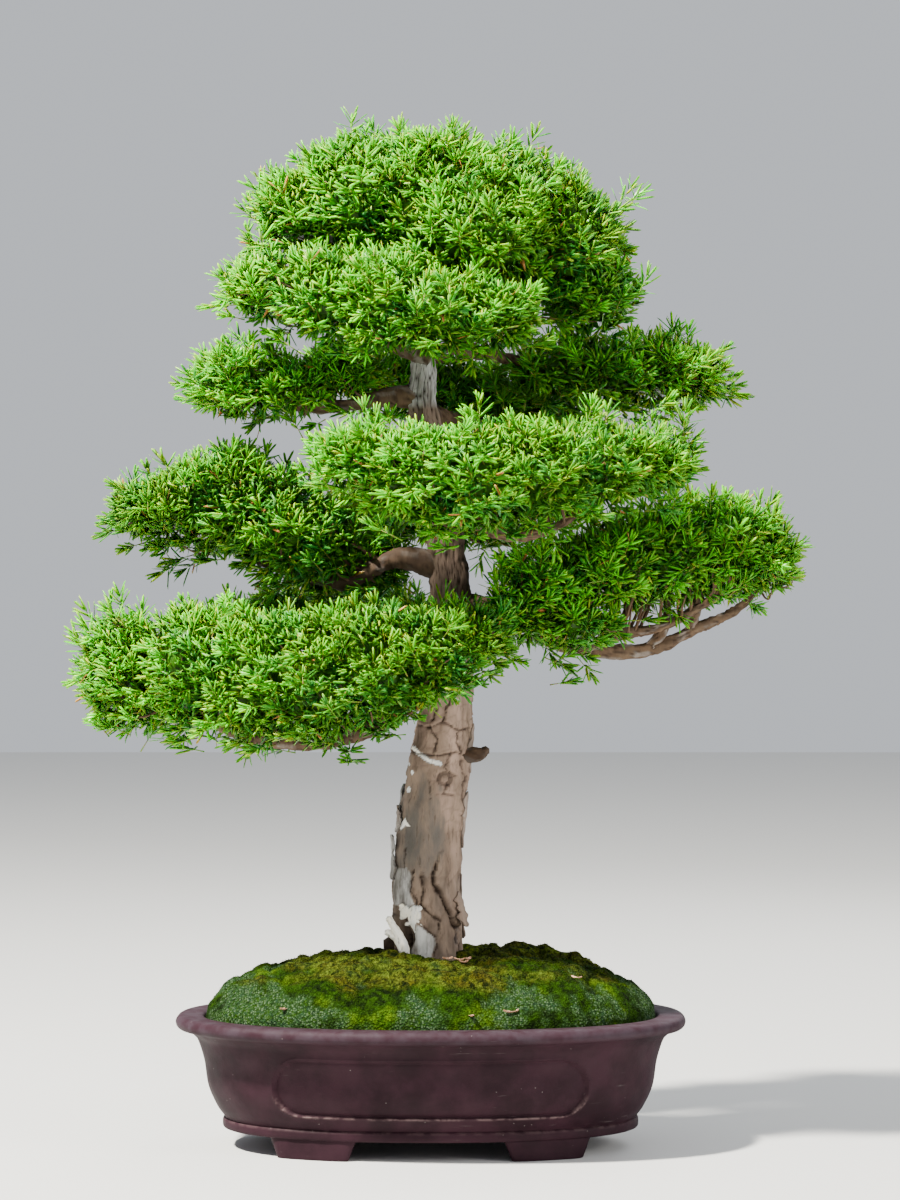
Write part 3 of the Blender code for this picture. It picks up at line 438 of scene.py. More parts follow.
def loft(rings: Array, start: Array | None = None, end: Array | None = None,
         marks: Array | None = None) -> Patch:
    """Skin a stack of equal rings and close both ends with a point, or join the last ring to the first.

    Args:
        rings: Points, as rings by points by three.
        start: Point that closes the first ring, or None for a tyre.
        end: Point that closes the last ring, or None for a tyre.
        marks: Four masks at each ring point, or None for zeros.

    Returns:
        A closed surface.
    """
    rows, columns = rings.shape[:2]
    points = rings.reshape(-1, 3)
    masks = np.zeros((rows * columns, 4)) if marks is None else marks.reshape(-1, 4)
    if start is None or end is None:
        return Patch(points, grid_quads(rows, columns, tyre=True), no_faces(3), masks)
    index = np.arange(columns)
    beside = (index + 1) % columns
    last = (rows - 1) * columns
    low = np.stack([beside, index, np.full(columns, len(points))], axis=1)
    high = np.stack([last + index, last + beside, np.full(columns, len(points) + 1)], axis=1)
    ends = np.stack([masks[:columns].mean(axis=0), masks[last:].mean(axis=0)])
    return Patch(np.concatenate([points, [start], [end]]), grid_quads(rows, columns),
                 np.concatenate([low, high]), np.concatenate([masks, ends]))


def tube(path: Array, radius: Array, marks: Array) -> Patch:
    """Carry a ring along a path: middle + radius * (cos a * side + sin a * other).

    Args:
        path: Points along the middle.
        radius: Radii, as path points by ring points.
        marks: Four masks at each ring point.

    Returns:
        A closed tube with rounded ends.
    """
    tangent = unit(np.gradient(path, axis=0))
    reference = np.eye(3)[np.argmin(np.abs(tangent).max(axis=0))]
    side = unit(reference - tangent * (tangent @ reference)[:, None])
    other = np.cross(tangent, side)
    angle = full_turn(radius.shape[1])[:, None]
    offset = np.cos(angle) * side[:, None] + np.sin(angle) * other[:, None]
    rings = path[:, None] + radius[..., None] * offset
    start = path[0] - tangent[0] * radius[0].mean() * 0.35
    end = path[-1] + tangent[-1] * radius[-1].mean() * 0.6
    return loft(rings, start, end, marks)


def sheet_shell(outer: Array, inner: Array, marks: Array) -> Patch:
    """Close a thin sheet: its outer grid, its inner grid and the edge between them.

    Args:
        outer: Outer points, as rows by columns by three.
        inner: Inner points behind them.
        marks: Four masks at each outer point.

    Returns:
        A closed thin plate.
    """
    rows, columns = outer.shape[:2]
    row, column = np.arange(rows - 1)[:, None], np.arange(columns - 1)[None, :]
    corner = row * columns + column
    top = joined(corner, corner + 1, corner + columns + 1, corner + columns).reshape(-1, 4)
    under = top[:, ::-1] + rows * columns
    edge = np.concatenate([np.arange(columns), np.arange(1, rows) * columns + columns - 1,
                           (rows - 1) * columns + np.arange(columns - 2, -1, -1),
                           np.arange(rows - 2, 0, -1) * columns])
    ahead = np.roll(edge, -1)
    rim = np.stack([edge, edge + rows * columns, ahead + rows * columns, ahead], axis=1)
    both = np.concatenate([outer.reshape(-1, 3), inner.reshape(-1, 3)])
    masks = marks.reshape(-1, 4)
    return Patch(both, np.concatenate([top, under, rim]), no_faces(3), np.concatenate([masks, masks]))


def repeated(points: Array, quads: Array, tris: Array, marks: Array) -> Patch:
    """Put many small shapes with the same faces into one surface.

    Args:
        points: Their points, as shapes by points by three.
        quads: Four-sided faces of one shape.
        tris: Three-sided faces of one shape.
        marks: Four masks at each point.

    Returns:
        The surface.
    """
    count, corners = points.shape[:2]
    shift = corners * np.arange(count)[:, None, None]
    return Patch(points.reshape(-1, 3), (quads + shift).reshape(-1, 4), (tris + shift).reshape(-1, 3),
                 marks.reshape(-1, 4))


def spike_points(root: Array, way: Array, side: Array, radius: Array | float, tip: Array) -> Array:
    """Corners of slim three-sided spikes: thirds of a turn round each root, and the tip.

    Args:
        root: Middles of their feet.
        way: Directions that they point in.
        side: Directions square to those.
        radius: Radius of each foot.
        tip: Their tips.

    Returns:
        Points, as spikes by four by three.
    """
    other = np.cross(way, side)
    ring = [root + radius * (math.cos(turn) * side + math.sin(turn) * other)
            for turn in (0.0, TURN / 3, 2 * TURN / 3)]
    return np.stack([*ring, tip], axis=1)


def placed(name: str, data: bpy.types.ID) -> bpy.types.Object:
    """Put a mesh, light or camera into the scene as an object.

    Args:
        name: The object's name.
        data: The mesh, light or camera.

    Returns:
        The object.
    """
    thing = bpy.data.objects.new(name, data)
    bpy.context.scene.collection.objects.link(thing)
    return thing


def made_piece(name: str, patch: Patch, material: Material, nodes: tuple[str, ...] = (),
               sharp: float = 40.0) -> bpy.types.Object:
    """Put a surface into a mesh object that rides on the plant.

    Args:
        name: The piece's name.
        patch: Its surface.
        material: Its finish.
        nodes: CAD nodes that the piece stands for.
        sharp: Angle in degrees past which an edge stays sharp.

    Returns:
        The finished object.
    """
    mesh = bpy.data.meshes.new(name)
    mesh.vertices.add(len(patch.points))
    mesh.vertices.foreach_set("co", patch.points.astype(np.float32).ravel())
    corners = np.concatenate([patch.quads.ravel(), patch.tris.ravel()]).astype(np.int32)
    first_tri = 4 * len(patch.quads)
    starts = np.concatenate([np.arange(len(patch.quads)) * 4, first_tri + np.arange(len(patch.tris)) * 3])
    mesh.loops.add(len(corners))
    mesh.loops.foreach_set("vertex_index", corners)
    mesh.polygons.add(len(starts))
    mesh.polygons.foreach_set("loop_start", starts.astype(np.int32))
    mesh.update(calc_edges=True)
    masks = mesh.attributes.new("marks", "FLOAT_COLOR", "POINT")
    masks.data.foreach_set("color", patch.marks.astype(np.float32).ravel())
    mesh.materials.append(material)
    mesh.shade_smooth()
    mesh.set_sharp_from_angle(angle=math.radians(sharp))
    piece = placed(name, mesh)
    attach(piece, "root")
    if nodes:
        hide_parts(*nodes)
    LOG.info("%s: %d triangles", name, patch.triangle_count())
    return piece


# Finishes: shader graphs, with the effects that several of them share kept as node groups.

class Graph:
    """A short way to place and wire the nodes of one shader tree."""

    def __init__(self, tree: bpy.types.NodeTree) -> None:
        """Keep the tree."""
        self.tree = tree

    def add(self, kind: str, inputs: dict | None = None,
            **settings: str | bpy.types.NodeTree) -> bpy.types.Node:
        """Place a node, set its options and fill its inputs.

        Args:
            kind: The node's type.
            inputs: Values or sockets by input name or number.
            settings: Options of the node.

        Returns:
            The node.
        """
        node = self.tree.nodes.new(kind)
        for key, value in settings.items():
            setattr(node, key, value)
        for key, value in (inputs or {}).items():
            self.feed(node.inputs[key], value)
        return node

    def feed(self, socket: Socket, value: Value) -> None:
        """Link a socket to another, or set its value."""
        if isinstance(value, Socket):
            self.tree.links.new(value, socket)
        elif isinstance(value, tuple) and len(value) == 3 and socket.type == "RGBA":
            socket.default_value = (*value, 1.0)
        else:
            socket.default_value = value

    def math(self, operation: str, first: Value, second: Value) -> Socket:
        """Work out one sum of two values."""
        return self.add("ShaderNodeMath", {0: first, 1: second}, operation=operation).outputs[0]

    def times(self, first: Value, second: Value) -> Socket:
        """Multiply two values."""
        return self.math("MULTIPLY", first, second)

    def rise(self, value: Value, low: float, high: float, start: float = 0.0, stop: float = 1.0) -> Socket:
        """Map a value smoothly from one range to another, held at both ends."""
        inputs = dict(enumerate((value, low, high, start, stop)))
        return self.add("ShaderNodeMapRange", inputs, interpolation_type="SMOOTHSTEP").outputs[0]

    def blend(self, share: Value, first: Value, second: Value) -> Socket:
        """Mix two colours by a share."""
        return self.add("ShaderNodeMix", {0: share, 6: first, 7: second}, data_type="RGBA").outputs[2]

    def layered(self, colour: Value, *layers: tuple[Value, Value]) -> Socket:
        """Lay colours over a base one after another, each given as its share and its colour."""
        for share, over in layers:
            colour = self.blend(share, colour, over)
        return colour

    def noise(self, vector: Socket, scale: Value, detail: float = 4.0, roughness: float = 0.55) -> Socket:
        """Read fractal noise at a place."""
        inputs = {"Vector": vector, "Scale": scale, "Detail": detail, "Roughness": roughness}
        return self.add("ShaderNodeTexNoise", inputs).outputs["Fac"]

    def grains(self, vector: Socket, scale: Value) -> tuple[Socket, Socket]:
        """Read the distance to the nearest cell's middle, and that cell's own random colour."""
        cell = self.add("ShaderNodeTexVoronoi", {"Vector": vector, "Scale": scale})
        return cell.outputs["Distance"], cell.outputs["Color"]

    def part(self, colour: Socket, name: str) -> Socket:
        """Read one part of a colour."""
        return self.add("ShaderNodeSeparateColor", {"Color": colour}).outputs[name]

    def bump(self, height: Socket, strength: Value, depth: Value, under: Socket | None = None) -> Socket:
        """Turn heights into a normal, on top of another normal if one is given.

        Args:
            height: The heights, from 0 to 1.
            strength: How strongly they tilt the surface.
            depth: The depth that 1 stands for.
            under: The other normal, or None.

        Returns:
            The normal.
        """
        inputs = {"Strength": strength, "Distance": depth, "Height": height}
        if under:
            inputs["Normal"] = under
        return self.add("ShaderNodeBump", inputs).outputs["Normal"]

    def stretched(self, vector: Socket, scale: Place) -> Socket:
        """Scale the place that a pattern is read at."""
        return self.add("ShaderNodeMapping", {"Vector": vector, "Scale": scale}).outputs[0]


def new_group(name: str, output: tuple[str, str], **inputs: float | tuple | None) -> tuple:
    """Start a shader node group.

    Args:
        name: The group's name.
        output: Name and socket type of its output.
        inputs: Value of each input, by its name: a number, a colour, or None for a place.

    Returns:
        The tree, its graph, its inputs, and its output socket.
    """
    tree = bpy.data.node_groups.new(name, "ShaderNodeTree")
    for label, value in inputs.items():
        kind = "Vector" if value is None else "Color" if isinstance(value, tuple) else "Float"
        socket = tree.interface.new_socket(label, in_out="INPUT", socket_type="NodeSocket" + kind)
        if value is not None:
            socket.default_value = value
    tree.interface.new_socket(output[0], in_out="OUTPUT", socket_type=output[1])
    graph = Graph(tree)
    return tree, graph, graph.add("NodeGroupInput").outputs, graph.add("NodeGroupOutput").inputs[output[0]]


def mottle_group() -> bpy.types.NodeTree:
    """Two colours in soft clouds: fractal noise, spread to full contrast, mixes them.

    Returns:
        The group.
    """
    tree, graph, given, out = new_group("mottle", ("Colour", "NodeSocketColor"), Vector=None, Scale=30.0,
                                        Dark=(0.1, 0.1, 0.1, 1), Light=(0.5, 0.5, 0.5, 1))
    mask = graph.rise(graph.noise(given["Vector"], given["Scale"], 6.0, 0.6), 0.32, 0.68)
    graph.feed(out, graph.blend(mask, given["Dark"], given["Light"]))
    return tree


def specks_group() -> bpy.types.NodeTree:
    """Small scattered specks: the middles of a few of the cells of a pattern.

    Returns:
        The group.
    """
    tree, graph, given, out = new_group("specks", ("Mask", "NodeSocketFloat"), Vector=None, Scale=300.0,
                                        Share=0.1, Size=0.3)
    reach, lot = graph.grains(given["Vector"], given["Scale"])
    picked = graph.math("LESS_THAN", graph.part(lot, "Red"), given["Share"])
    graph.feed(out, graph.times(picked, graph.math("LESS_THAN", reach, given["Size"])))
    return tree


def relief_group() -> bpy.types.NodeTree:
    """A rough skin as a normal: fractal noise pushed through a bump.

    Returns:
        The group.
    """
    tree, graph, given, out = new_group("relief", ("Normal", "NodeSocketVector"), Vector=None, Scale=200.0,
                                        Strength=0.4, Depth=0.0006)
    grain = graph.noise(given["Vector"], given["Scale"], 5.0, 0.65)
    graph.feed(out, graph.bump(grain, given["Strength"], given["Depth"]))
    return tree


@dataclass
class Effects:
    """The node groups that the finishes share, each built once."""

    mottle: bpy.types.NodeTree = field(default_factory=mottle_group)
    specks: bpy.types.NodeTree = field(default_factory=specks_group)
    relief: bpy.types.NodeTree = field(default_factory=relief_group)


@dataclass
class Bench:
    """One material being made: its graph, its shader, and the places and masks it reads."""

    name: str
    effects: Effects

    def __post_init__(self) -> None:
        """Start the material with its shader and coordinates."""
        self.material = bpy.data.materials.new(self.name)
        self.material.use_nodes = True
        self.graph = Graph(self.material.node_tree)
        self.shader = self.material.node_tree.nodes["Principled BSDF"]
        self.place = self.graph.add("ShaderNodeTexCoord").outputs["Object"]

    def marks(self) -> tuple[Socket, ...]:
        """Read the piece's four masks.

        Returns:
            Their sockets, in the order of the piece's marks.
        """
        read = self.graph.add("ShaderNodeAttribute", attribute_name="marks")
        parts = self.graph.add("ShaderNodeSeparateColor", {"Color": read.outputs["Color"]}).outputs
        return parts["Red"], parts["Green"], parts["Blue"], read.outputs["Alpha"]

    def group(self, tree: bpy.types.NodeTree, **inputs: Value | None) -> Socket:
        """Place a shared effect, at the piece's own place if no other is given."""
        inputs["Vector"] = inputs.get("Vector") or self.place
        return self.graph.add("ShaderNodeGroup", inputs, node_tree=tree).outputs[0]

    def mottled(self, scale: float, dark: Value, light: Value, vector: Socket | None = None) -> Socket:
        """Colour in soft clouds."""
        return self.group(self.effects.mottle, Vector=vector, Scale=scale, Dark=dark, Light=light)

    def specked(self, scale: float, share: float, size: float) -> Socket:
        """Mask of small specks."""
        return self.group(self.effects.specks, Scale=scale, Share=share, Size=size)

    def relieved(self, scale: float, strength: float, depth: float, vector: Socket | None = None) -> Socket:
        """Normal of a rough skin."""
        return self.group(self.effects.relief, Vector=vector, Scale=scale, Strength=strength, Depth=depth)

    def cloud(self, scale: float, low: float, high: float, start: float = 0.0, stop: float = 1.0) -> Socket:
        """Soft patches: noise at the piece's own place, mapped from one range to another."""
        return self.graph.rise(self.graph.noise(self.place, scale), low, high, start, stop)

    def finished(self, colour: Value, roughness: Value, normal: Socket | None = None, sheen: float = 0.5,
                 through: float = 0.0) -> Material:
        """Wire the shader and hand over the material.

        Args:
            colour: Base colour, as a socket or a value.
            roughness: Roughness, as a socket or a value.
            normal: Normal, or None for the mesh's own.
            sheen: How strongly its surface mirrors light, 0.5 for a common plastic.
            through: Share of the light that goes into it and comes out elsewhere, as in a leaf.

        Returns:
            The material.
        """
        settings = {"Specular IOR Level": sheen, "Subsurface Weight": through,
                    "Subsurface Radius": (0.7, 1.0, 0.25), "Subsurface Scale": 1.5 * MM,
                    "Base Color": colour, "Roughness": roughness}
        if normal:
            settings["Normal"] = normal
        for key, value in settings.items():
            self.graph.feed(self.shader.inputs[key], value)
        return self.material


@dataclass(frozen=True)
class StonewareFinish:
    """Unglazed purple-brown clay: cloudy, with pale specks and faint worn marks; painted reflection makes the
    lip paler and bluer, and painted highlight lightens the rubbed edges.
    """

    dark: Colour = (0.0112, 0.0033, 0.0061)
    light: Colour = (0.0245, 0.0082, 0.0138)
    # Painted reflection of the sky: the paler, bluer colour of the lip.
    lip: Colour = (0.043, 0.029, 0.039)
    # Rubbed edges, lightened also as a painted highlight on the upward ledges.
    worn: Colour = (0.130, 0.085, 0.085)
    bloom: Colour = (0.42, 0.38, 0.36)
    lip_sheen_from: float = 103 * MM
    lip_sheen_full: float = 110 * MM
    foot_from: float = 30 * MM
    foot_full: float = 4 * MM

    def material(self, effects: Effects) -> Material:
        """Build the finish.

        Args:
            effects: The shared node groups.

        Returns:
            The material.
        """
        bench = Bench("stoneware", effects)
        graph = bench.graph
        height = graph.add("ShaderNodeSeparateXYZ", {"Vector": bench.place}).outputs["Z"]
        lines = graph.stretched(bench.place, (30.0, 30.0, 420.0))
        scratch = graph.noise(lines, 1.0, detail=3.0, roughness=0.5)
        rubbed = graph.times(graph.rise(scratch, 0.66, 0.74), bench.cloud(18.0, 0.5, 0.7, 0.0, 0.22))
        clay = graph.layered(
            bench.mottled(26.0, self.dark, self.light),
            # Painted reflection: the lip paler and bluer from these heights up.
            (graph.rise(height, self.lip_sheen_from, self.lip_sheen_full, 0.0, 0.75),
             bench.mottled(60.0, self.light, self.lip)),
            (graph.rise(height, self.foot_from, self.foot_full, 0.0, 0.3), self.dark),
            (graph.times(bench.specked(330.0, 0.03, 0.13), 0.4), self.bloom),
            (rubbed, self.bloom),
            # Rubbed edges, partly a painted highlight.
            (graph.times(bench.marks()[0], bench.cloud(120.0, 0.4, 0.6, 0.1, 0.9)), self.worn))
        rough = bench.cloud(45.0, 0.3, 0.7, 0.60, 0.70)
        return bench.finished(clay, rough, bench.relieved(420.0, 0.35, 0.5 * MM), sheen=0.11)


@dataclass(frozen=True)
class BarkFinish:
    """Yew bark: tan-grey plates, dark cracks, pale bare wood, grey smooth skin and a pink flush, with painted
    light and shade laid in through its masks.
    """

    name: str = "yew_bark"
    tan: Colour = (0.200, 0.143, 0.105)
    tan_dark: Colour = (0.068, 0.046, 0.033)
    crack: Colour = (0.020, 0.011, 0.007)
    cream: Colour = (0.88, 0.82, 0.68)
    bone: Colour = (0.60, 0.61, 0.60)
    grey: Colour = (0.088, 0.078, 0.068)
    pink: Colour = (0.345, 0.240, 0.185)

    def material(self, effects: Effects) -> Material:
        """Build the finish. Its masks are crack, which also holds painted shade, pale, which also holds
        painted sunlight, grey and pink.

        Args:
            effects: The shared node groups.

        Returns:
            The material.
        """
        bench = Bench(self.name, effects)
        graph = bench.graph
        crack, pale, grey, pink = bench.marks()
        fibres = graph.stretched(bench.place, (1.0, 1.0, 0.28))
        bare = graph.blend(graph.rise(pale, 0.55, 0.95), bench.mottled(60.0, self.grey, self.bone, fibres),
                           bench.mottled(110.0, self.bone, self.cream, fibres))
        threads = graph.stretched(bench.place, (260.0, 260.0, 34.0))
        hairline = graph.noise(threads, 1.0, detail=5.0, roughness=0.6)
        unbared = graph.math("SUBTRACT", 1.0, pale)
        bark = graph.layered(
            bench.mottled(95.0, self.tan_dark, self.tan, fibres),
            (pink, bench.mottled(70.0, self.tan, self.pink, fibres)),
            (grey, bench.mottled(60.0, self.grey, self.tan, fibres)),
            (graph.rise(pale, 0.0, 0.6), bare),
            (graph.rise(graph.noise(fibres, 430.0, detail=3.0), 0.58, 0.72, 0.0, 0.45), self.tan_dark),
            (graph.times(graph.rise(hairline, 0.60, 0.68, 0.0, 0.45), unbared), self.crack),
            (crack, self.crack))
        return bench.finished(bark, 0.78, bench.relieved(260.0, 0.8, 1.1 * MM, fibres), sheen=0.15)


@dataclass(frozen=True)
class NeedleFinish:
    """Yew needles: deep to lime green by their age and by painted light, paler tips, brown dead ones, and a
    dark inner body as painted shade.
    """

    # Old and young greens, also used for painted shade and painted light.
    old: Colour = (0.027, 0.122, 0.003)
    middle: Colour = (0.052, 0.280, 0.002)
    young_and_sunlit: Colour = (0.082, 0.540, 0.001)
    cool: Colour = (0.010, 0.150, 0.020)
    dead: Colour = (0.30, 0.125, 0.03)
    stem: Colour = (0.235, 0.150, 0.050)
    # Painted shade: the dark inner body of the pads.
    shade: Colour = (0.020, 0.050, 0.004)
    living: float = 0.994

    def material(self, effects: Effects) -> Material:
        """Build the finish. Its masks are chance, place along the needle, kind, and freshness with painted
        light.

        Args:
            effects: The shared node groups.

        Returns:
            The material.
        """
        bench = Bench("yew_needles", effects)
        graph = bench.graph
        chance, along, kind, youth_and_light = bench.marks()
        # Age mixed with painted light picks the green.
        age = graph.math("ADD", graph.times(youth_and_light, 0.78), graph.times(chance, 0.3))
        shady = graph.times(bench.cloud(24.0, 0.42, 0.62, 0.0, 0.75), graph.rise(chance, 0.9, 0.2))
        inner = graph.times(graph.rise(kind, 0.25, 0.4), graph.rise(kind, 0.7, 0.6))
        leaf = graph.layered(
            self.old, (graph.rise(age, 0.05, 0.55), self.middle),
            (graph.rise(age, 0.5, 1.05), self.young_and_sunlit),
            (shady, self.cool),
            (graph.rise(along, 0.0, 0.3, 0.35, 0.0), self.young_and_sunlit),
            (graph.math("GREATER_THAN", chance, self.living), self.dead),
            (graph.rise(kind, 0.7, 0.9), bench.mottled(300.0, self.stem, self.middle)),
            # Painted shade on the inner body.
            (inner, bench.mottled(160.0, self.shade, self.old)))
        return bench.finished(leaf, 0.25, sheen=0.14, through=0.4)


@dataclass(frozen=True)
class MossFinish:
    """Living moss: olive, vivid green and grey-blue cushions with pale tips, and painted shade in the
    crevices and the gaps between crumbs.
    """

    # Dark green, also the colour of painted shade.
    deep: Colour = (0.003, 0.007, 0.001)
    green: Colour = (0.019, 0.054, 0.0015)
    vivid: Colour = (0.080, 0.150, 0.002)
    olive: Colour = (0.104, 0.150, 0.013)
    brown: Colour = (0.072, 0.062, 0.005)
    blue: Colour = (0.020, 0.050, 0.023)
    frost: Colour = (0.080, 0.124, 0.064)
    crumb: float = 1.9 * MM

    def material(self, effects: Effects) -> Material:
        """Build the finish. Its masks are frost, chance, height in the cushion and olive.

        Args:
            effects: The shared node groups.

        Returns:
            The material.
        """
        bench = Bench("moss", effects)
        graph = bench.graph
        frosted, chance, high, olive = bench.marks()
        reach, lot = graph.grains(bench.place, 1 / self.crumb)
        dots = graph.times(graph.rise(reach, 0.62, 0.25), graph.rise(graph.part(lot, "Red"), 0.1, 0.9))
        dots = graph.math("MAXIMUM", dots, graph.rise(chance, 0.7, 0.85))
        golden = bench.mottled(45.0, self.brown, self.olive)
        # Painted shade in the crevices, less where the moss is olive.
        crevice = graph.times(graph.rise(high, 0.80, 0.22, 0.0, 0.90), graph.rise(olive, 0.0, 1.0, 1.0, 0.45))
        moss = graph.layered(
            bench.mottled(120.0, self.deep, self.green),
            (bench.cloud(26.0, 0.52, 0.68), bench.mottled(150.0, self.green, self.vivid)),
            (olive, bench.mottled(190.0, self.deep, golden)),
            (frosted, bench.mottled(240.0, self.green, self.blue)),
            (graph.times(dots, graph.rise(frosted, 0.15, 0.85, 0.05, 0.95)), self.frost),
            (crevice, self.deep),
            # Painted shade in the gaps between crumbs.
            (graph.rise(reach, 0.35, 0.8, 0.0, 0.5), self.deep))
        normal = graph.bump(graph.math("SUBTRACT", 1.0, reach), 1.0, self.crumb * 0.8,
                            bench.relieved(900.0, 0.9, 1.6 * MM))
        return bench.finished(moss, 0.95, normal, sheen=0.03)


@dataclass(frozen=True)
class GranuleFinish:
    """Loose grains, for soil and grit: cells of a few tones, with painted shade in the gaps between them."""

    name: str
    dark: Colour
    light: Colour
    grain: float

    def material(self, effects: Effects) -> Material:
        """Build the finish.

        Args:
            effects: The shared node groups.

        Returns:
            The material.
        """
        bench = Bench(self.name, effects)
        graph = bench.graph
        reach, lot = graph.grains(bench.place, 1 / self.grain)
        grains = graph.layered(self.dark, (graph.rise(graph.part(lot, "Green"), 0.1, 0.9), self.light),
                               # Painted shade in the gaps between grains.
                               (graph.rise(reach, 0.45, 0.75, 0.0, 0.85), self.dark))
        normal = graph.bump(graph.math("SUBTRACT", 1.0, reach), 0.9, self.grain * 0.4)
        return bench.finished(grains, 0.95, normal)


@dataclass(frozen=True)
class MeshPlasticFinish:
    """Black moulded plastic with a little dust in its grain."""

    black: Colour = (0.012, 0.012, 0.013)
    dusty: Colour = (0.055, 0.047, 0.040)

    def material(self, effects: Effects) -> Material:
        """Build the finish."""
        bench = Bench("drain_plastic", effects)
        return bench.finished(bench.mottled(340.0, self.black, self.dusty), 0.5,
                              bench.relieved(1200.0, 0.3, 0.2 * MM))


@dataclass(frozen=True)
class WireFinish:
    """Brown anodised wire, dulled where it has lain in wet soil."""

    bright: Colour = (0.56, 0.30, 0.17)
    dull: Colour = (0.26, 0.15, 0.10)

    def material(self, effects: Effects) -> Material:
        """Build the finish.

        Args:
            effects: The shared node groups.

        Returns:
            The material.
        """
        bench = Bench("clip_wire", effects)
        bench.shader.inputs["Metallic"].default_value = 1.0
        rough = bench.cloud(700.0, 0.3, 0.7, 0.32, 0.55)
        return bench.finished(bench.mottled(420.0, self.dull, self.bright), rough)


@dataclass(frozen=True)
class ScrapFinish:
    """Dry fallen leaves, orange-brown and curled."""

    dry: Colour = (0.52, 0.24, 0.12)
    pale: Colour = (0.70, 0.44, 0.30)

    def material(self, effects: Effects) -> Material:
        """Build the finish."""
        bench = Bench("fallen_leaf", effects)
        return bench.finished(bench.mottled(500.0, self.dry, self.pale), 0.7,
                              bench.relieved(900.0, 0.4, 0.4 * MM))


# The pot.

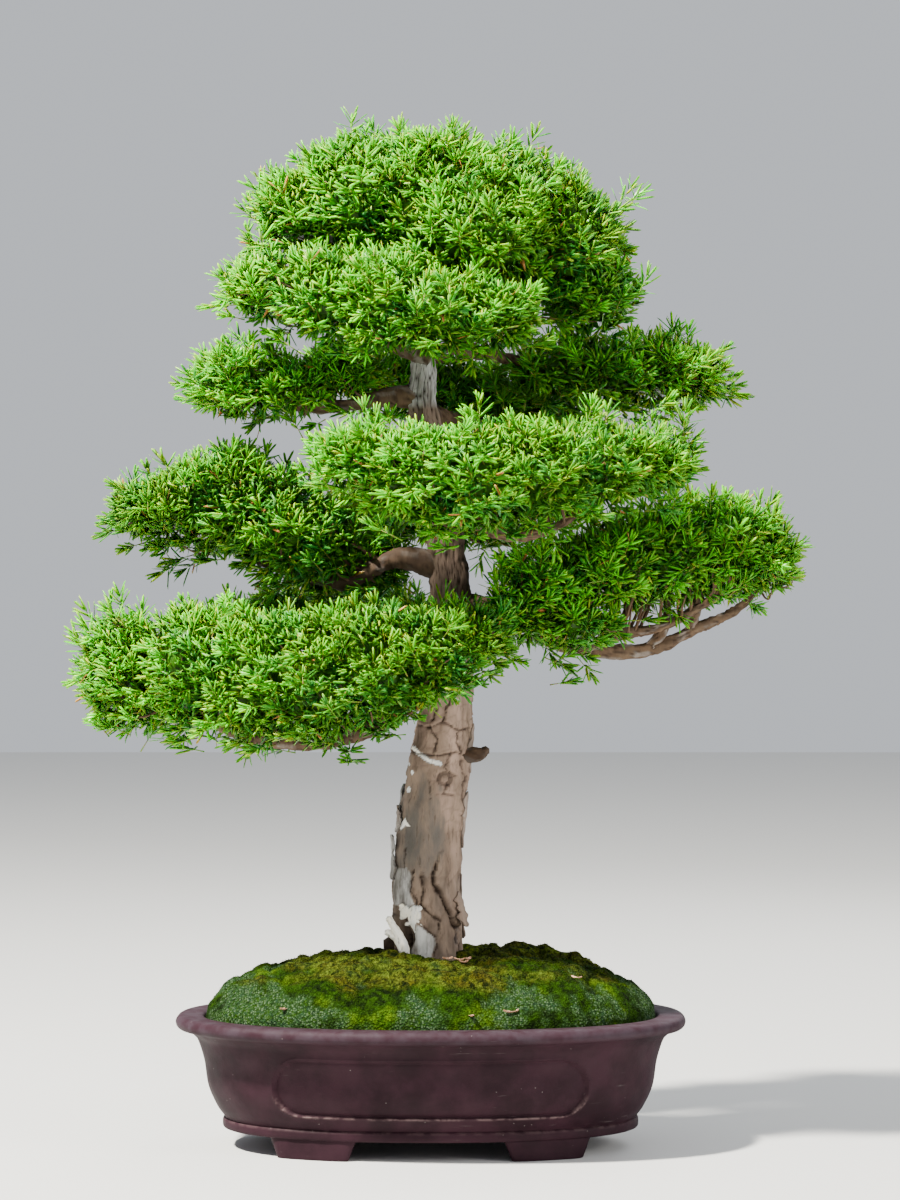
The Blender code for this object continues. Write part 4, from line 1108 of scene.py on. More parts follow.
@dataclass
class Pot:
    """The oval pot: a wall with a wide lip, a sunk panel front and back, and four feet."""

    effects: Effects
    panel_half_width: float = 135 * MM
    panel_low: float = 39 * MM
    panel_high: float = 88 * MM
    panel_depth: float = 2.4 * MM
    bead_height: float = 0.7 * MM
    base_rows: int = 10
    wall_rows: tuple = ((26.4, 36, 6), (37.2, 42, 8), (43.5, 84, 15), (85.5, 90.5, 8), (92, 104, 9))
    drain_reach: float = 95 * MM
    drain_radius: float = 13 * MM
    drain_sides: int = 40
    drill_ends: tuple = (10 * MM, 34 * MM)
    foot_height: float = 17 * MM
    foot_top_inset: float = 43.4 * MM
    foot_inner: float = 62 * MM
    foot_outer: float = 139 * MM

    def profile(self) -> Array:
        """The wall's outline as (inset, height) pairs, from the underside out, up, over the lip and in.

        Returns:
            The pairs in metres, one a row.
        """
        base = curve_through([(47, 17), (44.6, 17.1), (42.6, 17.5), (41.6, 18.6), (41.4, 21), (41.5, 24),
                              (42.0, 25.3), (43.2, 26.1)], np.linspace(0, 1, self.base_rows))
        fine = curve_through([(43.5, 26.4), (41.6, 29), (36, 37), (28.5, 54), (25, 76), (19.5, 94),
                              (15.6, 99), (12, 102.3), (8.5, 104.0)], np.linspace(0, 1, 200))
        height = np.concatenate([np.linspace(*part) for part in self.wall_rows]) * MM
        wall = np.column_stack([np.interp(height, fine[:, 1], fine[:, 0]), height])
        turn = np.radians(np.linspace(-62, 90, 9))
        lip = np.stack([6 * (1 - np.cos(turn)), 110 + 6 * np.sin(turn)], axis=1) * MM
        inside = curve_through([(10, 116), (16, 115.9), (21.5, 115.9), (24.2, 115.2), (25.4, 113.2),
                                (27.5, 108), (34, 88), (44, 54), (52, 27)], np.linspace(0, 1, 12))
        return np.concatenate([base, wall, lip, inside])

    def columns(self) -> Array:
        """Angles round the pot, closest together where the panels' round ends are.

        Returns:
            The angles in radians, in rising order.
        """
        ends = np.linspace(103, 138.5, 26)
        half = np.concatenate([np.linspace(0, 99, 15), ends]) * MM
        waist = RIM_HALF_WIDTH - 27 * MM
        quarter = np.arccos((half / waist) ** (OVAL_POWER / 2))
        side = np.linspace(quarter[-1], 0, 15)[1:]
        front = np.concatenate([quarter, side])
        turns = np.concatenate([front, -front[:-1], math.pi - front[:-1], math.pi + front[:-1]])
        turns = np.sort(np.mod(turns, TURN))
        return turns[np.concatenate([[True], np.diff(turns) > 1e-6])]

    def panel_edge(self, x: Array, z: Array) -> Array:
        """How far places lie outside the panel's outline, a slot with half-round ends, negative inside it.

        Args:
            x: Places along the pot.
            z: Their heights.

        Returns:
            The distance to the slot's middle line, less half the slot's height.
        """
        radius = (self.panel_high - self.panel_low) / 2
        middle = (self.panel_high + self.panel_low) / 2
        beyond = np.maximum(np.abs(x - POT_X) - (self.panel_half_width - radius), 0)
        return np.hypot(beyond, z - middle) - radius

    def panel_relief(self, x: Array, z: Array) -> Array:
        """How far the wall moves in for the panel.

        Args:
            x: Places along the pot.
            z: Their heights.

        Returns:
            Depth inwards: the panel's depth inside a slot with half-round ends, a little more just inside
            its edge, and less on a thin bead along it.
        """
        edge = self.panel_edge(x, z)
        sunk = self.panel_depth * smoothstep(-edge, -0.7 * MM, 0.7 * MM)
        groove = 0.7 * MM * bell(edge + 1.6 * MM, 1.1 * MM)
        bead = self.bead_height * bell(edge - 1.7 * MM, 1.1 * MM)
        return sunk + groove - bead

    def wear_and_highlight(self, x: Array, z: Array) -> Array:
        """Mask of the rubbed edges, which also serves as a painted highlight where light catches them: the
        panel's lower bead and the top of the base band.
        """
        bead = bell(self.panel_edge(x, z) - 1.0 * MM, 0.8 * MM) * smoothstep(z, 60 * MM, 44 * MM)
        return np.clip(bead + 0.3 * bell(z - 25.3 * MM, 0.8 * MM), 0, 1)

    def shell(self) -> Patch:
        """The wall carried round the oval, with both panels let in.

        Returns:
            The closed surface, with its mask of rubbed edges and painted highlight.
        """
        outline, turns = self.profile(), self.columns()
        inset, height = outline[:, :1], outline[:, 1:]
        flat = pot_oval(inset, height, turns)
        outer_rows = self.base_rows + sum(part[2] for part in self.wall_rows)
        outside = (np.arange(len(outline)) < outer_rows)[:, None]
        inset = inset + np.where(outside, self.panel_relief(flat[..., 0], flat[..., 2]), 0)
        wobble = ripple(flat, 130 * MM, 4) * 0.25 * MM
        rings = pot_oval(inset + wobble, height, turns)
        marks = joined(np.where(outside, self.wear_and_highlight(flat[..., 0], flat[..., 2]), 0), 0, 0, 0)
        ends = [np.array([POT_X, POT_Y, z]) for z in (self.foot_height, FLOOR_TOP)]
        return loft(rings, *ends, marks)

    def foot(self, side_x: int, side_y: int) -> Patch:
        """A bracket foot with rounded edges that follows the oval and narrows to the ground.

        Args:
            side_x: -1 for left, 1 for right.
            side_y: -1 for front, 1 for back.

        Returns:
            The foot's closed surface, a rounded block bent along the oval.
        """
        levels = np.array([0, 0.25, 0.9, 3, 7, 11, 15, 18.5])[:, None] * MM
        trim = np.array([1.0, 0.3, 0, 0, 0, 0, 0, 0])[:, None] * MM
        angle, squareness = full_turn(56), 0.24
        share = 1 - levels / (self.foot_height + 2 * MM)
        start = self.foot_inner + 8 * MM * share ** 0.8
        stop = self.foot_outer - 7 * MM * share
        x = (start + stop) / 2 + ((stop - start) / 2 - trim) * signed_power(np.cos(angle), squareness)
        width, depth = RIM_HALF_WIDTH - self.foot_top_inset, RIM_HALF_DEPTH - self.foot_top_inset
        outer = depth * (1 - (np.clip(x, 0, width) / width) ** OVAL_POWER) ** (1 / OVAL_POWER)
        thick = 22 * MM + 0.12 * (x - self.foot_inner)
        y = outer - thick / 2 + (thick / 2 - trim) * signed_power(np.sin(angle), squareness)
        rings = joined(POT_X + side_x * x, side_y * y, levels)
        if side_x * side_y < 0:
            rings = rings[:, ::-1]
        middle = rings.mean(axis=1)
        return loft(rings, middle[0], middle[-1])

    def build(self) -> None:
        """Make the pot's body with its drain holes, and its feet."""
        material = StonewareFinish().material(self.effects)
        body = made_piece("pot_body", self.shell(), material, ("pot",), sharp=35.0)
        angle = full_turn(self.drain_sides)
        circle = joined(self.drain_radius * np.cos(angle), self.drain_radius * np.sin(angle), 0)
        for side in (-1, 1):
            ends = [np.array([POT_X + side * self.drain_reach, POT_Y, z]) for z in self.drill_ends]
            drilled(body, loft(np.stack([end + circle for end in ends]), *ends))
        feet = [self.foot(x, y) for x in (-1, 1) for y in (-1, 1)]
        made_piece("pot_feet", Patch.merged(feet), material, ("pot",), sharp=35.0)


def drilled(piece: bpy.types.Object, patch: Patch) -> None:
    """Cut a closed shape out of a piece and apply the cut.

    Args:
        piece: The piece to cut.
        patch: The shape that is taken away.
    """
    mesh = bpy.data.meshes.new("drill")
    mesh.from_pydata(patch.points.tolist(), [], patch.quads.tolist() + patch.tris.tolist())
    cutter = placed("drill", mesh)
    cut = piece.modifiers.new("Drain", "BOOLEAN")
    cut.operation = "DIFFERENCE"
    cut.solver = "MANIFOLD"
    cut.object = cutter
    bpy.context.view_layer.update()
    shaped = piece.evaluated_get(bpy.context.evaluated_depsgraph_get())
    carved = bpy.data.meshes.new_from_object(shaped)
    piece.modifiers.clear()
    piece.data = carved
    bpy.data.objects.remove(cutter, do_unlink=True)


@dataclass
class Drainage:
    """What lies unseen in the pot: screens, their wire clips, grit and soil."""

    effects: Effects

    def build(self) -> None:
        """Give each of these CAD nodes its finish."""
        plastic = MeshPlasticFinish().material(self.effects)
        wire = WireFinish().material(self.effects)
        grit = GranuleFinish("grit", (0.075, 0.060, 0.048), (0.30, 0.25, 0.20), 4.5 * MM)
        earth = GranuleFinish("earth", (0.014, 0.009, 0.006), (0.085, 0.055, 0.036), 2.6 * MM)
        finishes = {"drain_screen_left": plastic, "drain_screen_right": plastic, "screen_clip_left": wire,
                    "screen_clip_right": wire, "drainage_grit": grit.material(self.effects),
                    "soil": earth.material(self.effects)}
        for node, material in finishes.items():
            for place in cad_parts[node].material_slots:
                place.material = material
            LOG.info("%s: new finish", node)


# Moss.

# Fallen leaves: middle in millimetres, turn in radians and half-length in millimetres.
SCRAPS = [(52, -128, 0.4, 7), (18, -136, 1.9, 6), (-142, -108, 1.1, 7), (110, -60, 2.4, 6), (-70, 70, 0.2, 7),
          (-2, -44, 0.5, 5), (8, -42, 2.7, 5), (16, -39, 1.2, 6), (12, -46, 0.1, 4)]


@dataclass
class MossBed:
    """The blanket of moss: cushions of three sizes over the mound, with sprigs standing on them."""

    effects: Effects
    rows: int = 80
    columns: int = 390
    cushions: tuple = ((25 * MM, 9.0 * MM), (11.5 * MM, 5.0 * MM), (4.6 * MM, 1.9 * MM))
    hole_x: float = -15 * MM
    hole_radius: float = 27 * MM
    cells_across: int = 128
    ridge_height: float = 7 * MM
    hollow_depth: float = 9 * MM
    sprigs: int = 13000
    sprig_sink: float = 0.8 * MM
    seed: int = 21

    def rise_over(self, x: Array, y: Array) -> tuple[Array, Array]:
        """The moss's height and how high a place lies in its cushion.

        Args:
            x: Places across.
            y: Places along.

        Returns:
            Height: the mound plus crossed waves, domes sqrt(1 - r^2) of three sizes and a ridge at the back
            right, less a hollow right of the trunk. Then a share from 0 in a crevice to 1 on top.
        """
        across = np.abs(x - POT_X) / MOUND_HALF_WIDTH
        along = np.abs(y) / MOUND_HALF_DEPTH
        reach = np.clip((across ** OVAL_POWER + along ** OVAL_POWER) ** (1 / OVAL_POWER), 0, 1)
        waves = 0.7 * np.sin(x / (19 * MM) + 1.3) * np.cos(y / (17 * MM) - 0.4)
        waves += 0.5 * np.sin((x + 1.4 * y) / (13 * MM) + 2.1)
        inward = smoothstep(1 - reach, 0.0, 0.10)
        bend_x = x + 2.5 * MM * np.sin(y / (9 * MM))
        bend_y = y + 2.5 * MM * np.sin(x / (8 * MM) + 1)
        height, top = MOSS_EDGE + mound_rise(reach) + MOSS_BUMP * waves * inward, np.zeros_like(x)
        for number, (size, tall) in enumerate(self.cushions, 1):
            near, _, tone, _ = cells(bend_x, bend_y, (size, size), self.cells_across, self.seed + number)
            dome = np.sqrt(np.clip(1 - (near / 0.8) ** 2, 0, 1))
            height = height + (dome * (0.6 + 0.6 * tone) - 0.42) * tall * (0.4 + 0.6 * inward)
            top = top + dome * tall
        ridge = self.ridge_height * smoothstep(y, 10 * MM, 60 * MM) * smoothstep(1 - reach, 0.05, 0.35)
        ridge = ridge * smoothstep(x, -60 * MM, 30 * MM)
        hollow = self.hollow_depth * bell(x - 22 * MM, 13 * MM) * bell(y - 6 * MM, 16 * MM)
        return height + ridge - hollow, top / sum(tall for _, tall in self.cushions)

    def marks(self, points: Array, top: Array, chance: Array) -> Array:
        """Masks of the moss.

        Args:
            points: Places on it.
            top: How high each lies in its cushion.
            chance: A random value for each.

        Returns:
            Frost, mostly near the left end and low down, chance, top, and olive, mostly on the mound's top
            and as painted light on the ridge at the back right.
        """
        x = points[..., 0] - POT_X
        spread = ripple(points, 62 * MM, self.seed)
        fine = ripple(points, 21 * MM, self.seed + 5)
        ends = smoothstep(-x, 80 * MM, 185 * MM) + 0.35 * smoothstep(x, 120 * MM, 190 * MM)
        upper = smoothstep(points[..., 2], 136 * MM, 156 * MM)
        frost = smoothstep(0.45 * ends + 0.50 * (1 - upper) + 0.42 * spread + 0.34 * fine, 0.22, 0.86)
        centre = upper * bell(x, 160 * MM)
        # Painted light: the ridge at the back right, which lies in shade, gets the bright olive.
        lit_back_ridge = smoothstep(x, -20 * MM, 40 * MM) * smoothstep(points[..., 1], -10 * MM, 40 * MM)
        olive = smoothstep(centre + 0.9 * lit_back_ridge + 0.42 * ripple(points, 48 * MM, self.seed + 9), 0.30, 0.95)
        return joined(frost * (1 - 0.6 * olive), chance, top, olive)

    def blanket(self) -> Patch:
        """The moss's skin: rings from the trunk out to the pot's wall, down it and back underneath.

        Returns:
            The closed surface, with its masks.
        """
        rng = np.random.default_rng(self.seed)
        angle = full_turn(self.columns)
        brim = pot_oval(inner_inset(MOSS_EDGE) + 0.4 * MM, MOSS_EDGE, angle)
        foot = pot_oval(inner_inset(SOIL_EDGE) + 0.6 * MM, SOIL_EDGE, angle)
        hole = joined(self.hole_x + self.hole_radius * np.cos(angle), self.hole_radius * np.sin(angle))
        share = np.linspace(0, 1, self.rows)[:, None, None] ** 0.82
        flat = hole * (1 - share) + brim[:, :2] * share
        height, top = self.rise_over(flat[..., 0], flat[..., 1])
        upper = np.concatenate([flat, height[..., None]], axis=-1)
        upper[-1, :, 2] = MOSS_EDGE
        under = []
        for part in (1.0, 0.75, 0.4, 0.0):
            ring = hole * (1 - part) + foot[:, :2] * part
            reach = np.hypot((ring[:, 0] - POT_X) / MOUND_HALF_WIDTH, ring[:, 1] / MOUND_HALF_DEPTH)
            low = SOIL_EDGE + mound_rise(np.clip(reach, 0, 1)) - 1.5 * MM
            under.append(np.column_stack([ring, np.where(part == 1.0, SOIL_EDGE + 0.3 * MM, low)]))
        rings = np.concatenate([upper[::-1], np.stack(under[::-1])])
        tops = np.concatenate([top[::-1], np.zeros((len(under), self.columns))])
        marks = self.marks(rings, tops, rng.uniform(0, 0.66, tops.shape))
        return loft(rings, marks=marks)

    def sprig_tufts(self) -> Patch:
        """Tiny leafy tips: slim three-sided spikes that stand off the cushions.

        Returns:
            All the tips as one surface.
        """
        rng = np.random.default_rng(self.seed + 1)
        angle = rng.uniform(0, TURN, self.sprigs)
        share = np.sqrt(rng.uniform(0.03, 1, self.sprigs)) ** 0.86 * 0.995
        brim = pot_oval(inner_inset(MOSS_EDGE) + 0.6 * MM, MOSS_EDGE, angle)
        x = self.hole_x * (1 - share) + brim[:, 0] * share
        y = brim[:, 1] * share
        height, top = self.rise_over(x, y)
        step = 0.8 * MM
        slope_x = (self.rise_over(x + step, y)[0] - height) / step
        slope_y = (self.rise_over(x, y + step)[0] - height) / step
        normal = unit(joined(-slope_x, -slope_y, 1))
        way = unit(normal + rng.normal(0, 0.45, (self.sprigs, 3)))
        root = joined(x, y, height) - way * self.sprig_sink
        side = unit(np.cross(way, rng.normal(size=(self.sprigs, 3))))
        wide = rng.uniform(0.3, 0.55, (self.sprigs, 1)) * MM
        tall = rng.uniform(1.3, 2.6, (self.sprigs, 1)) * MM
        points = spike_points(root, way, side, wide, root + way * tall)
        chance = rng.uniform(0, 1, (self.sprigs, 1)) * (0.4, 0.4, 0.4, 1.0)
        return repeated(points, no_faces(4), SPIKE_FACES, self.marks(points, (top + 0.25)[:, None], chance))

    def scraps(self) -> Patch:
        """A few curled dry leaves that have fallen on the moss.

        Returns:
            All the leaves as one surface, each lifted by the squares of its two parameters.
        """
        u, v = np.meshgrid(np.linspace(-1, 1, 7), np.linspace(-1, 1, 5), indexing="ij")
        lift = (1.2 + 1.4 * u ** 2 + 1.1 * v ** 2) * MM
        parts = []
        for x, y, turn, size in SCRAPS:
            place = np.array([x * MM, y * MM])
            level = self.rise_over(place[:1], place[1:])[0][0]
            along = u * size * MM
            across = v * size * 0.32 * MM * np.sqrt(1.02 - u ** 2)
            c, s = math.cos(turn), math.sin(turn)
            outer = joined(place[0] + c * along - s * across, place[1] + s * along + c * across, level + lift)
            outer = outer[:, ::-1]
            parts.append(sheet_shell(outer, outer - (0, 0, 0.35 * MM), np.zeros((*u.shape, 4))))
        return Patch.merged(parts)

    def build(self) -> None:
        """Make the moss and what has fallen on it."""
        moss = Patch.merged([self.blanket(), self.sprig_tufts()])
        made_piece("moss_bed", moss, MossFinish().material(self.effects), ("moss",), sharp=60.0)
        made_piece("fallen_leaves", self.scraps(), ScrapFinish().material(self.effects))


# Wood.

class Skin(Enum):
    """What covers a run of wood."""

    BARK = "bark"
    BARE = "bare"
    ROOT = "root"


@dataclass(frozen=True)
class Crack:
    """One crack in the bark at the front, as points (x, z) in millimetres, with the raised side's sign."""

    path: list[tuple[float, float]]
    depth: float = 2.2
    lift: float = 1.6
    side: int = 1
    reach: float = 6.5


CRACKS = [
    Crack([(-12.5, 249), (-15.5, 241), (-15.0, 232), (-8.0, 222), (-1.5, 205), (1.5, 196), (6.5, 192)],
          3.2, 4.2, reach=13.0),
    Crack([(-24.5, 242), (-23.5, 226), (-26.0, 214), (-15.5, 203), (-9.0, 199.5), (-10.5, 191)], 2.2, 1.4),
    Crack([(-32, 244), (-35, 226), (-28.5, 216), (-30, 205)], 2.0, 1.2),
    Crack([(-38, 262), (-39, 236), (-35, 224)], 1.8, 1.0),
    Crack([(5.5, 191), (6.5, 178), (8.5, 166)], 1.8, 1.0),
    Crack([(-30, 200), (-26, 198), (-19.5, 190.5), (-12.5, 186), (-12.0, 178), (-14, 169)], 1.8, 1.6, -1),
    Crack([(-42, 221), (-40, 205), (-38, 190), (-40, 176)], 2.2, 1.4),
    Crack([(-30, 198), (-32, 186), (-34, 176), (-38, 163)], 2.4, 1.2),
    Crack([(-18.5, 322), (-17.5, 306)], 1.2, 0.5),
    Crack([(-3, 318), (-6.5, 311), (2.5, 309)], 1.4, 0.6),
    Crack([(7, 292), (13, 291)], 1.2, 0.5),
    Crack([(-44, 352), (-28, 346), (-12, 344), (4, 347), (20, 342)], 1.8, 0.9),
    Crack([(-33, 372), (-18, 369), (-6, 374), (8, 366), (17, 368)], 1.6, 0.9),
    Crack([(-20, 398), (-12, 386), (-18, 369)], 1.6, 0.8),
    Crack([(2, 400), (-3, 386), (-6, 374)], 1.6, 0.8),
    Crack([(-14, 346), (-11, 358), (-18, 369)], 1.5, 0.8),
    Crack([(10, 345), (6, 356), (8, 366)], 1.5, 0.8),
    Crack([(0, 346), (-4, 334), (4, 326)], 1.3, 0.6),
    Crack([(9, 340), (13, 324), (10, 306), (14, 288), (11, 262)], 1.4, 0.8),
]


@dataclass(frozen=True)
class Tear:
    """Where bark is gone or torn at the front: the outline as (x, z) in millimetres, its tones and lift."""

    outline: list[tuple[float, float]]
    pale: float
    grey: float
    lift: float


TEARS = [
    Tear([(-42, 208.7), (-37, 212.4), (-35.2, 210), (-31, 213.5), (-28, 212.4), (-26.2, 207.5),
          (-24.7, 201.9), (-30.9, 197.9), (-36.8, 193.2), (-38.6, 195.1), (-37.7, 197.9), (-33.7, 199.4),
          (-34, 202.5), (-37.1, 201.9), (-40.2, 203.8)], 1.0, 0.0, 2.6),
    Tear([(-28.4, 196.3), (-23.4, 193.8), (-18.5, 188.9), (-16, 187.6), (-12.9, 184.5), (-12.3, 180.2),
          (-14.1, 174), (-16, 170.9), (-16.3, 165.3), (-17.2, 150), (-46, 150), (-42, 159), (-35.8, 172.1),
          (-30.9, 178.9), (-30.3, 189.5)], 0.42, 1.0, 1.2),
    Tear([(-50, 244), (-37, 246), (-33.5, 240), (-35, 224), (-31, 214.5), (-36, 210), (-43, 213), (-50, 211),
          (-50, 222)], 0.42, 1.0, 0.7),
    Tear([(-39, 290), (-37, 285.5), (-33.5, 281), (-39.8, 282), (-44, 278), (-46, 281), (-42, 286)],
         1.0, 0.0, 0.8),
]


@dataclass(frozen=True)
class Flake:
    """A plate of bark that has come loose: where it sits, its size, and how far its ends stand off."""

    angle: float
    low: float
    high: float
    width: float
    lift_low: float
    lift_high: float
    pale: float = 0.0
    curl: float = 1.0
    sweep: float = 2.0


# Painted flecks of sunlight, small and white, on the left of the front: middle and half-sizes in millimetres.
PAINTED_SUN_FLECKS = [
    (-37.4, 342, 1.3, 2.2), (-36, 335.7, 1.1, 1.6), (-39.8, 329, 1.1, 1.7), (-40.6, 324, 1.3, 2.6),
    (-41, 315, 1.2, 5), (-37, 313.5, 1.8, 2.4), (-33.5, 329, 1.2, 1.6),
]
# A painted streak of sunlight, white, across the front, as points (x, z) in millimetres.
PAINTED_SUN_STREAK = [(-34.0, 352.0), (-19.0, 340.0), (-9.0, 337.0)]
# Ovals on the front, middle and half-sizes in millimetres: smooth bark, and darker plates above it.
SMOOTH_BARK = (-32, 282, 30, 52)
DARK_PLATES = (-38, 372, 22, 24)
# An old branch's scar on the front: middle and radius in millimetres.
SCAR = (-4.5, 324, 15)
# Bands of height, each with its lower and its upper soft edge: drawn front bark, bark painted pale as
# sunlight, and bark painted dark as shade under the pads.
DRAWN_BAND = ((0.150, 0.160), (0.405, 0.395))
PAINTED_SUN_BAND = ((0.648, 0.656), (0.705, 0.690))
SHADED_BAND = ((0.42, 0.50), (0.64, 0.60))
# A hollow at the foot, which is also painted dark as shade: its angle from the left, its height and its
# depth.
HOLLOW_ANGLE = math.radians(40)
HOLLOW_HEIGHT = 183 * MM
HOLLOW_DEPTH = 9 * MM
FLAKES = [
    Flake(8, 234, 274, 13, 1.0, 4.6, 0.5, 0.8),
    Flake(12, 276, 300, 9, 1.0, 3.4, 0.3, 0.8),
    Flake(44, 200, 214, 9, 3.6, 1.0, 1.0, 1.2),
    Flake(160, 193, 224, 22, 9.5, 0.3, 0.0, 0.2, 1.0),
    Flake(170, 262, 312, 13, 0.5, 0.2, 0.15, 0.3),
    Flake(172, 328, 372, 11, 0.2, 0.6, 0.1, 0.3),
    Flake(215, 180, 240, 24, 2.2, 1.0, 0.1, 0.8),
    Flake(262, 210, 270, 26, 1.0, 2.4, 0.2, 0.8),
    Flake(305, 180, 236, 22, 2.4, 0.8, 0.3, 1.0),
    Flake(330, 262, 318, 18, 1.0, 2.6, 0.5, 1.2),
    Flake(240, 300, 352, 18, 2.2, 0.8, 0.05, 0.8),
]


@dataclass
class Wood:
    """Trunk, limbs, roots, dead wood, loose bark and the fine branches inside the pads."""

    effects: Effects
    trunk_columns: int = 134
    trunk_radius: float = 27 * MM
    trunk_ends: tuple = (0.130, 0.785)
    bare_trunk_top: float = 0.405
    bare_trunk_step: float = 0.0013
    upper_trunk_step: float = 4 * MM
    limb_columns: int = 20
    limb_step: float = 2.6 * MM
    limb_radius: float = 11 * MM
    limb_slimness: float = 0.8
    bare_columns: int = 28
    bare_step: float = 1.4 * MM
    flake_grid: tuple = (22, 10)
    branches_per_clump: int = 7
    branch_grid: tuple = (9, 4)
    seed: int = 33

    def trunk_middle(self, z: Array) -> tuple[Array, Array, Array]:
        """The trunk's middle and radius at given heights, read off its smooth curve."""
        fine = curve_through(TRUNK, np.linspace(0, 1, 400))
        return tuple(np.interp(z, fine[:, 2], fine[:, part]) for part in (0, 1, 3))

    def trunk_skin(self, angle: Array, z: Array, out: Array | float = 0.0) -> Array:
        """Places on the trunk: middle + radius * (1 + flutes) + out, at an angle from the left, by the front.

        Args:
            angle: Angles in radians, 0 at the left and a quarter turn at the front.
            z: Heights.
            out: How far outside the plain skin the places lie.

        Returns:
            Points with x, y and z along the last axis.
        """
        x, y, radius = self.trunk_middle(z)
        above = np.clip((z - 135 * MM) / (30 * MM), 0, 1)
        flare = 0.10 * bell(z - 158 * MM, 35 * MM)
        flute = (0.045 + flare) * np.sin(3 * angle + 9 * z + 0.6) + 0.035 * np.sin(5 * angle - 21 * z)
        reach = radius * (1 + above * flute) + out
        return joined(x - reach * np.cos(angle), y - reach * np.sin(angle), z)

    def crack_relief(self, x: Array, z: Array) -> tuple[Array, Array]:
        """Cracks drawn on the front of the trunk.

        Args:
            x: Places across, seen from the front.
            z: Heights.

        Returns:
            How far the bark moves out, a sharp groove along each crack with its one side raised and
            falling away from it, and a mask of the dark grooves.
        """
        relief, dark = np.zeros_like(x), np.zeros_like(x)
        front = joined(x, z)
        x = x + 0.9 * MM * ripple(front, 11 * MM, 17) + 0.5 * MM * ripple(front, 4.5 * MM, 18)
        swell = 0.85 + 0.45 * ripple(front, 15 * MM, 19)
        for crack in CRACKS:
            least, side = beside_run(x, z, np.array(crack.path) * MM)
            groove = bell(least, np.clip(swell, 0.4, 1.5) * (0.45 + 0.34 * crack.depth) * MM)
            relief -= crack.depth * MM * groove * 0.7
            raised = bell(least, crack.reach * MM) * (side * crack.side > 0)
            relief += crack.lift * MM * raised * (1 - groove)
            dark = np.maximum(dark, groove * min(1.0, crack.depth / 1.8))
        return relief, dark

    def plate_relief(self, angle: Array, z: Array, radius: float) -> tuple[Array, Array, Array]:
        """Plates of bark all round: long below, many-sided above, most with one lifted end.

        Args:
            angle: Angles in radians.
            z: Heights.
            radius: Typical radius, which turns angles into distances.

        Returns:
            How far the bark moves out, a mask of dark cracks, and each plate's own random value.
        """
        bent = angle + 0.10 * np.sin(z / (11 * MM)) + 0.05 * np.sin(z / (4.3 * MM) + 2 * angle)
        around = max(5, round(TURN * radius / (12.5 * MM)))
        long_cells = cells(bent, z, (TURN / around, 34 * MM), around, self.seed)
        short_cells = cells(bent, z, (TURN / (around + 2), 13 * MM), around + 2, self.seed + 1)
        lower = smoothstep(z, 0.30, 0.24)
        edge, tone, above = (long_part * lower + short_part * (1 - lower)
                             for long_part, short_part in zip(long_cells[1:], short_cells[1:]))
        groove = 1 - smoothstep(edge, 0.02, 0.16)
        relief = (1.5 * tone - 0.75 - 0.9 * above * (tone > 0.4)) * MM * smoothstep(edge, 0.0, 0.2)
        return relief - 1.1 * MM * groove, groove, tone

    def tear_masks(self, plain: Array, front: Array) -> list[Array]:
        """Ragged masks of the places where bark is gone or torn.

        Args:
            plain: Places on the trunk's plain skin.
            front: Mask of the front.

        Returns:
            One mask for each tear.
        """
        ragged = 0.4 * MM * ripple(plain, 6 * MM, 8)
        depths = [depth_within(plain[..., 0], plain[..., 2], np.array(tear.outline) * MM) for tear in TEARS]
        return [smoothstep(depth + ragged, -0.5 * MM, 0.7 * MM) * front for depth in depths]

    def trunk(self) -> Patch:
        """The trunk's bark, with the cracks, plates and smooth places of the real one.

        Returns:
            The closed surface, the plain skin moved out by the sum of its reliefs, with its masks.
        """
        rng = np.random.default_rng(self.seed)
        low, high = self.trunk_ends
        heights = np.concatenate([np.arange(low, self.bare_trunk_top, self.bare_trunk_step),
                                  np.arange(self.bare_trunk_top, high, self.upper_trunk_step)])
        turn, z = np.broadcast_arrays(full_turn(self.trunk_columns), heights[:, None])
        plain = self.trunk_skin(turn, z)
        x = plain[..., 0]
        front = smoothstep(np.sin(turn), 0.0, 0.35)
        zone = front * between(z, *DRAWN_BAND)
        smooth = self.spot(plain, *SMOOTH_BARK) * front
        hollow = bell(turn - HOLLOW_ANGLE, 0.36) * bell(z - HOLLOW_HEIGHT, 15 * MM)
        tears = self.tear_masks(plain, front)
        bald = np.clip(sum(tears), 0, 1)

        relief, groove, tone = self.plate_relief(turn, z, self.trunk_radius)
        drawn, dark = self.crack_relief(x, z)
        keep = 1 - np.clip(0.78 * zone + smooth + bald, 0, 1)
        out = relief * keep + drawn * zone * (1 - 0.8 * bald)
        out += 0.35 * MM * ripple(plain, 9 * MM, 5) + 0.9 * MM * ripple(plain, 34 * MM, 6)
        out += 0.16 * MM * rng.normal(size=out.shape) * (0.3 + keep)
        knot = self.knot(plain, *SCAR)
        out += 1.4 * MM * knot - HOLLOW_DEPTH * hollow * (1 - bald)
        out += sum(tear.lift * MM * mask for tear, mask in zip(TEARS, tears))
        rings = self.trunk_skin(turn, z, out)

        ragged = 0.5 * MM * ripple(plain, 5 * MM, 8)
        # Painted sunlight: a white streak and small flecks on the front.
        sun_streak = 1 - smoothstep(beside_run(x, z, np.array(PAINTED_SUN_STREAK) * MM)[0] + ragged, 1.2 * MM, 2.0 * MM)
        sun_flecks = sum(self.spot(plain, *fleck) for fleck in PAINTED_SUN_FLECKS)
        pale = sum(tear.pale * mask for tear, mask in zip(TEARS, tears)) + (sun_streak + sun_flecks) * front
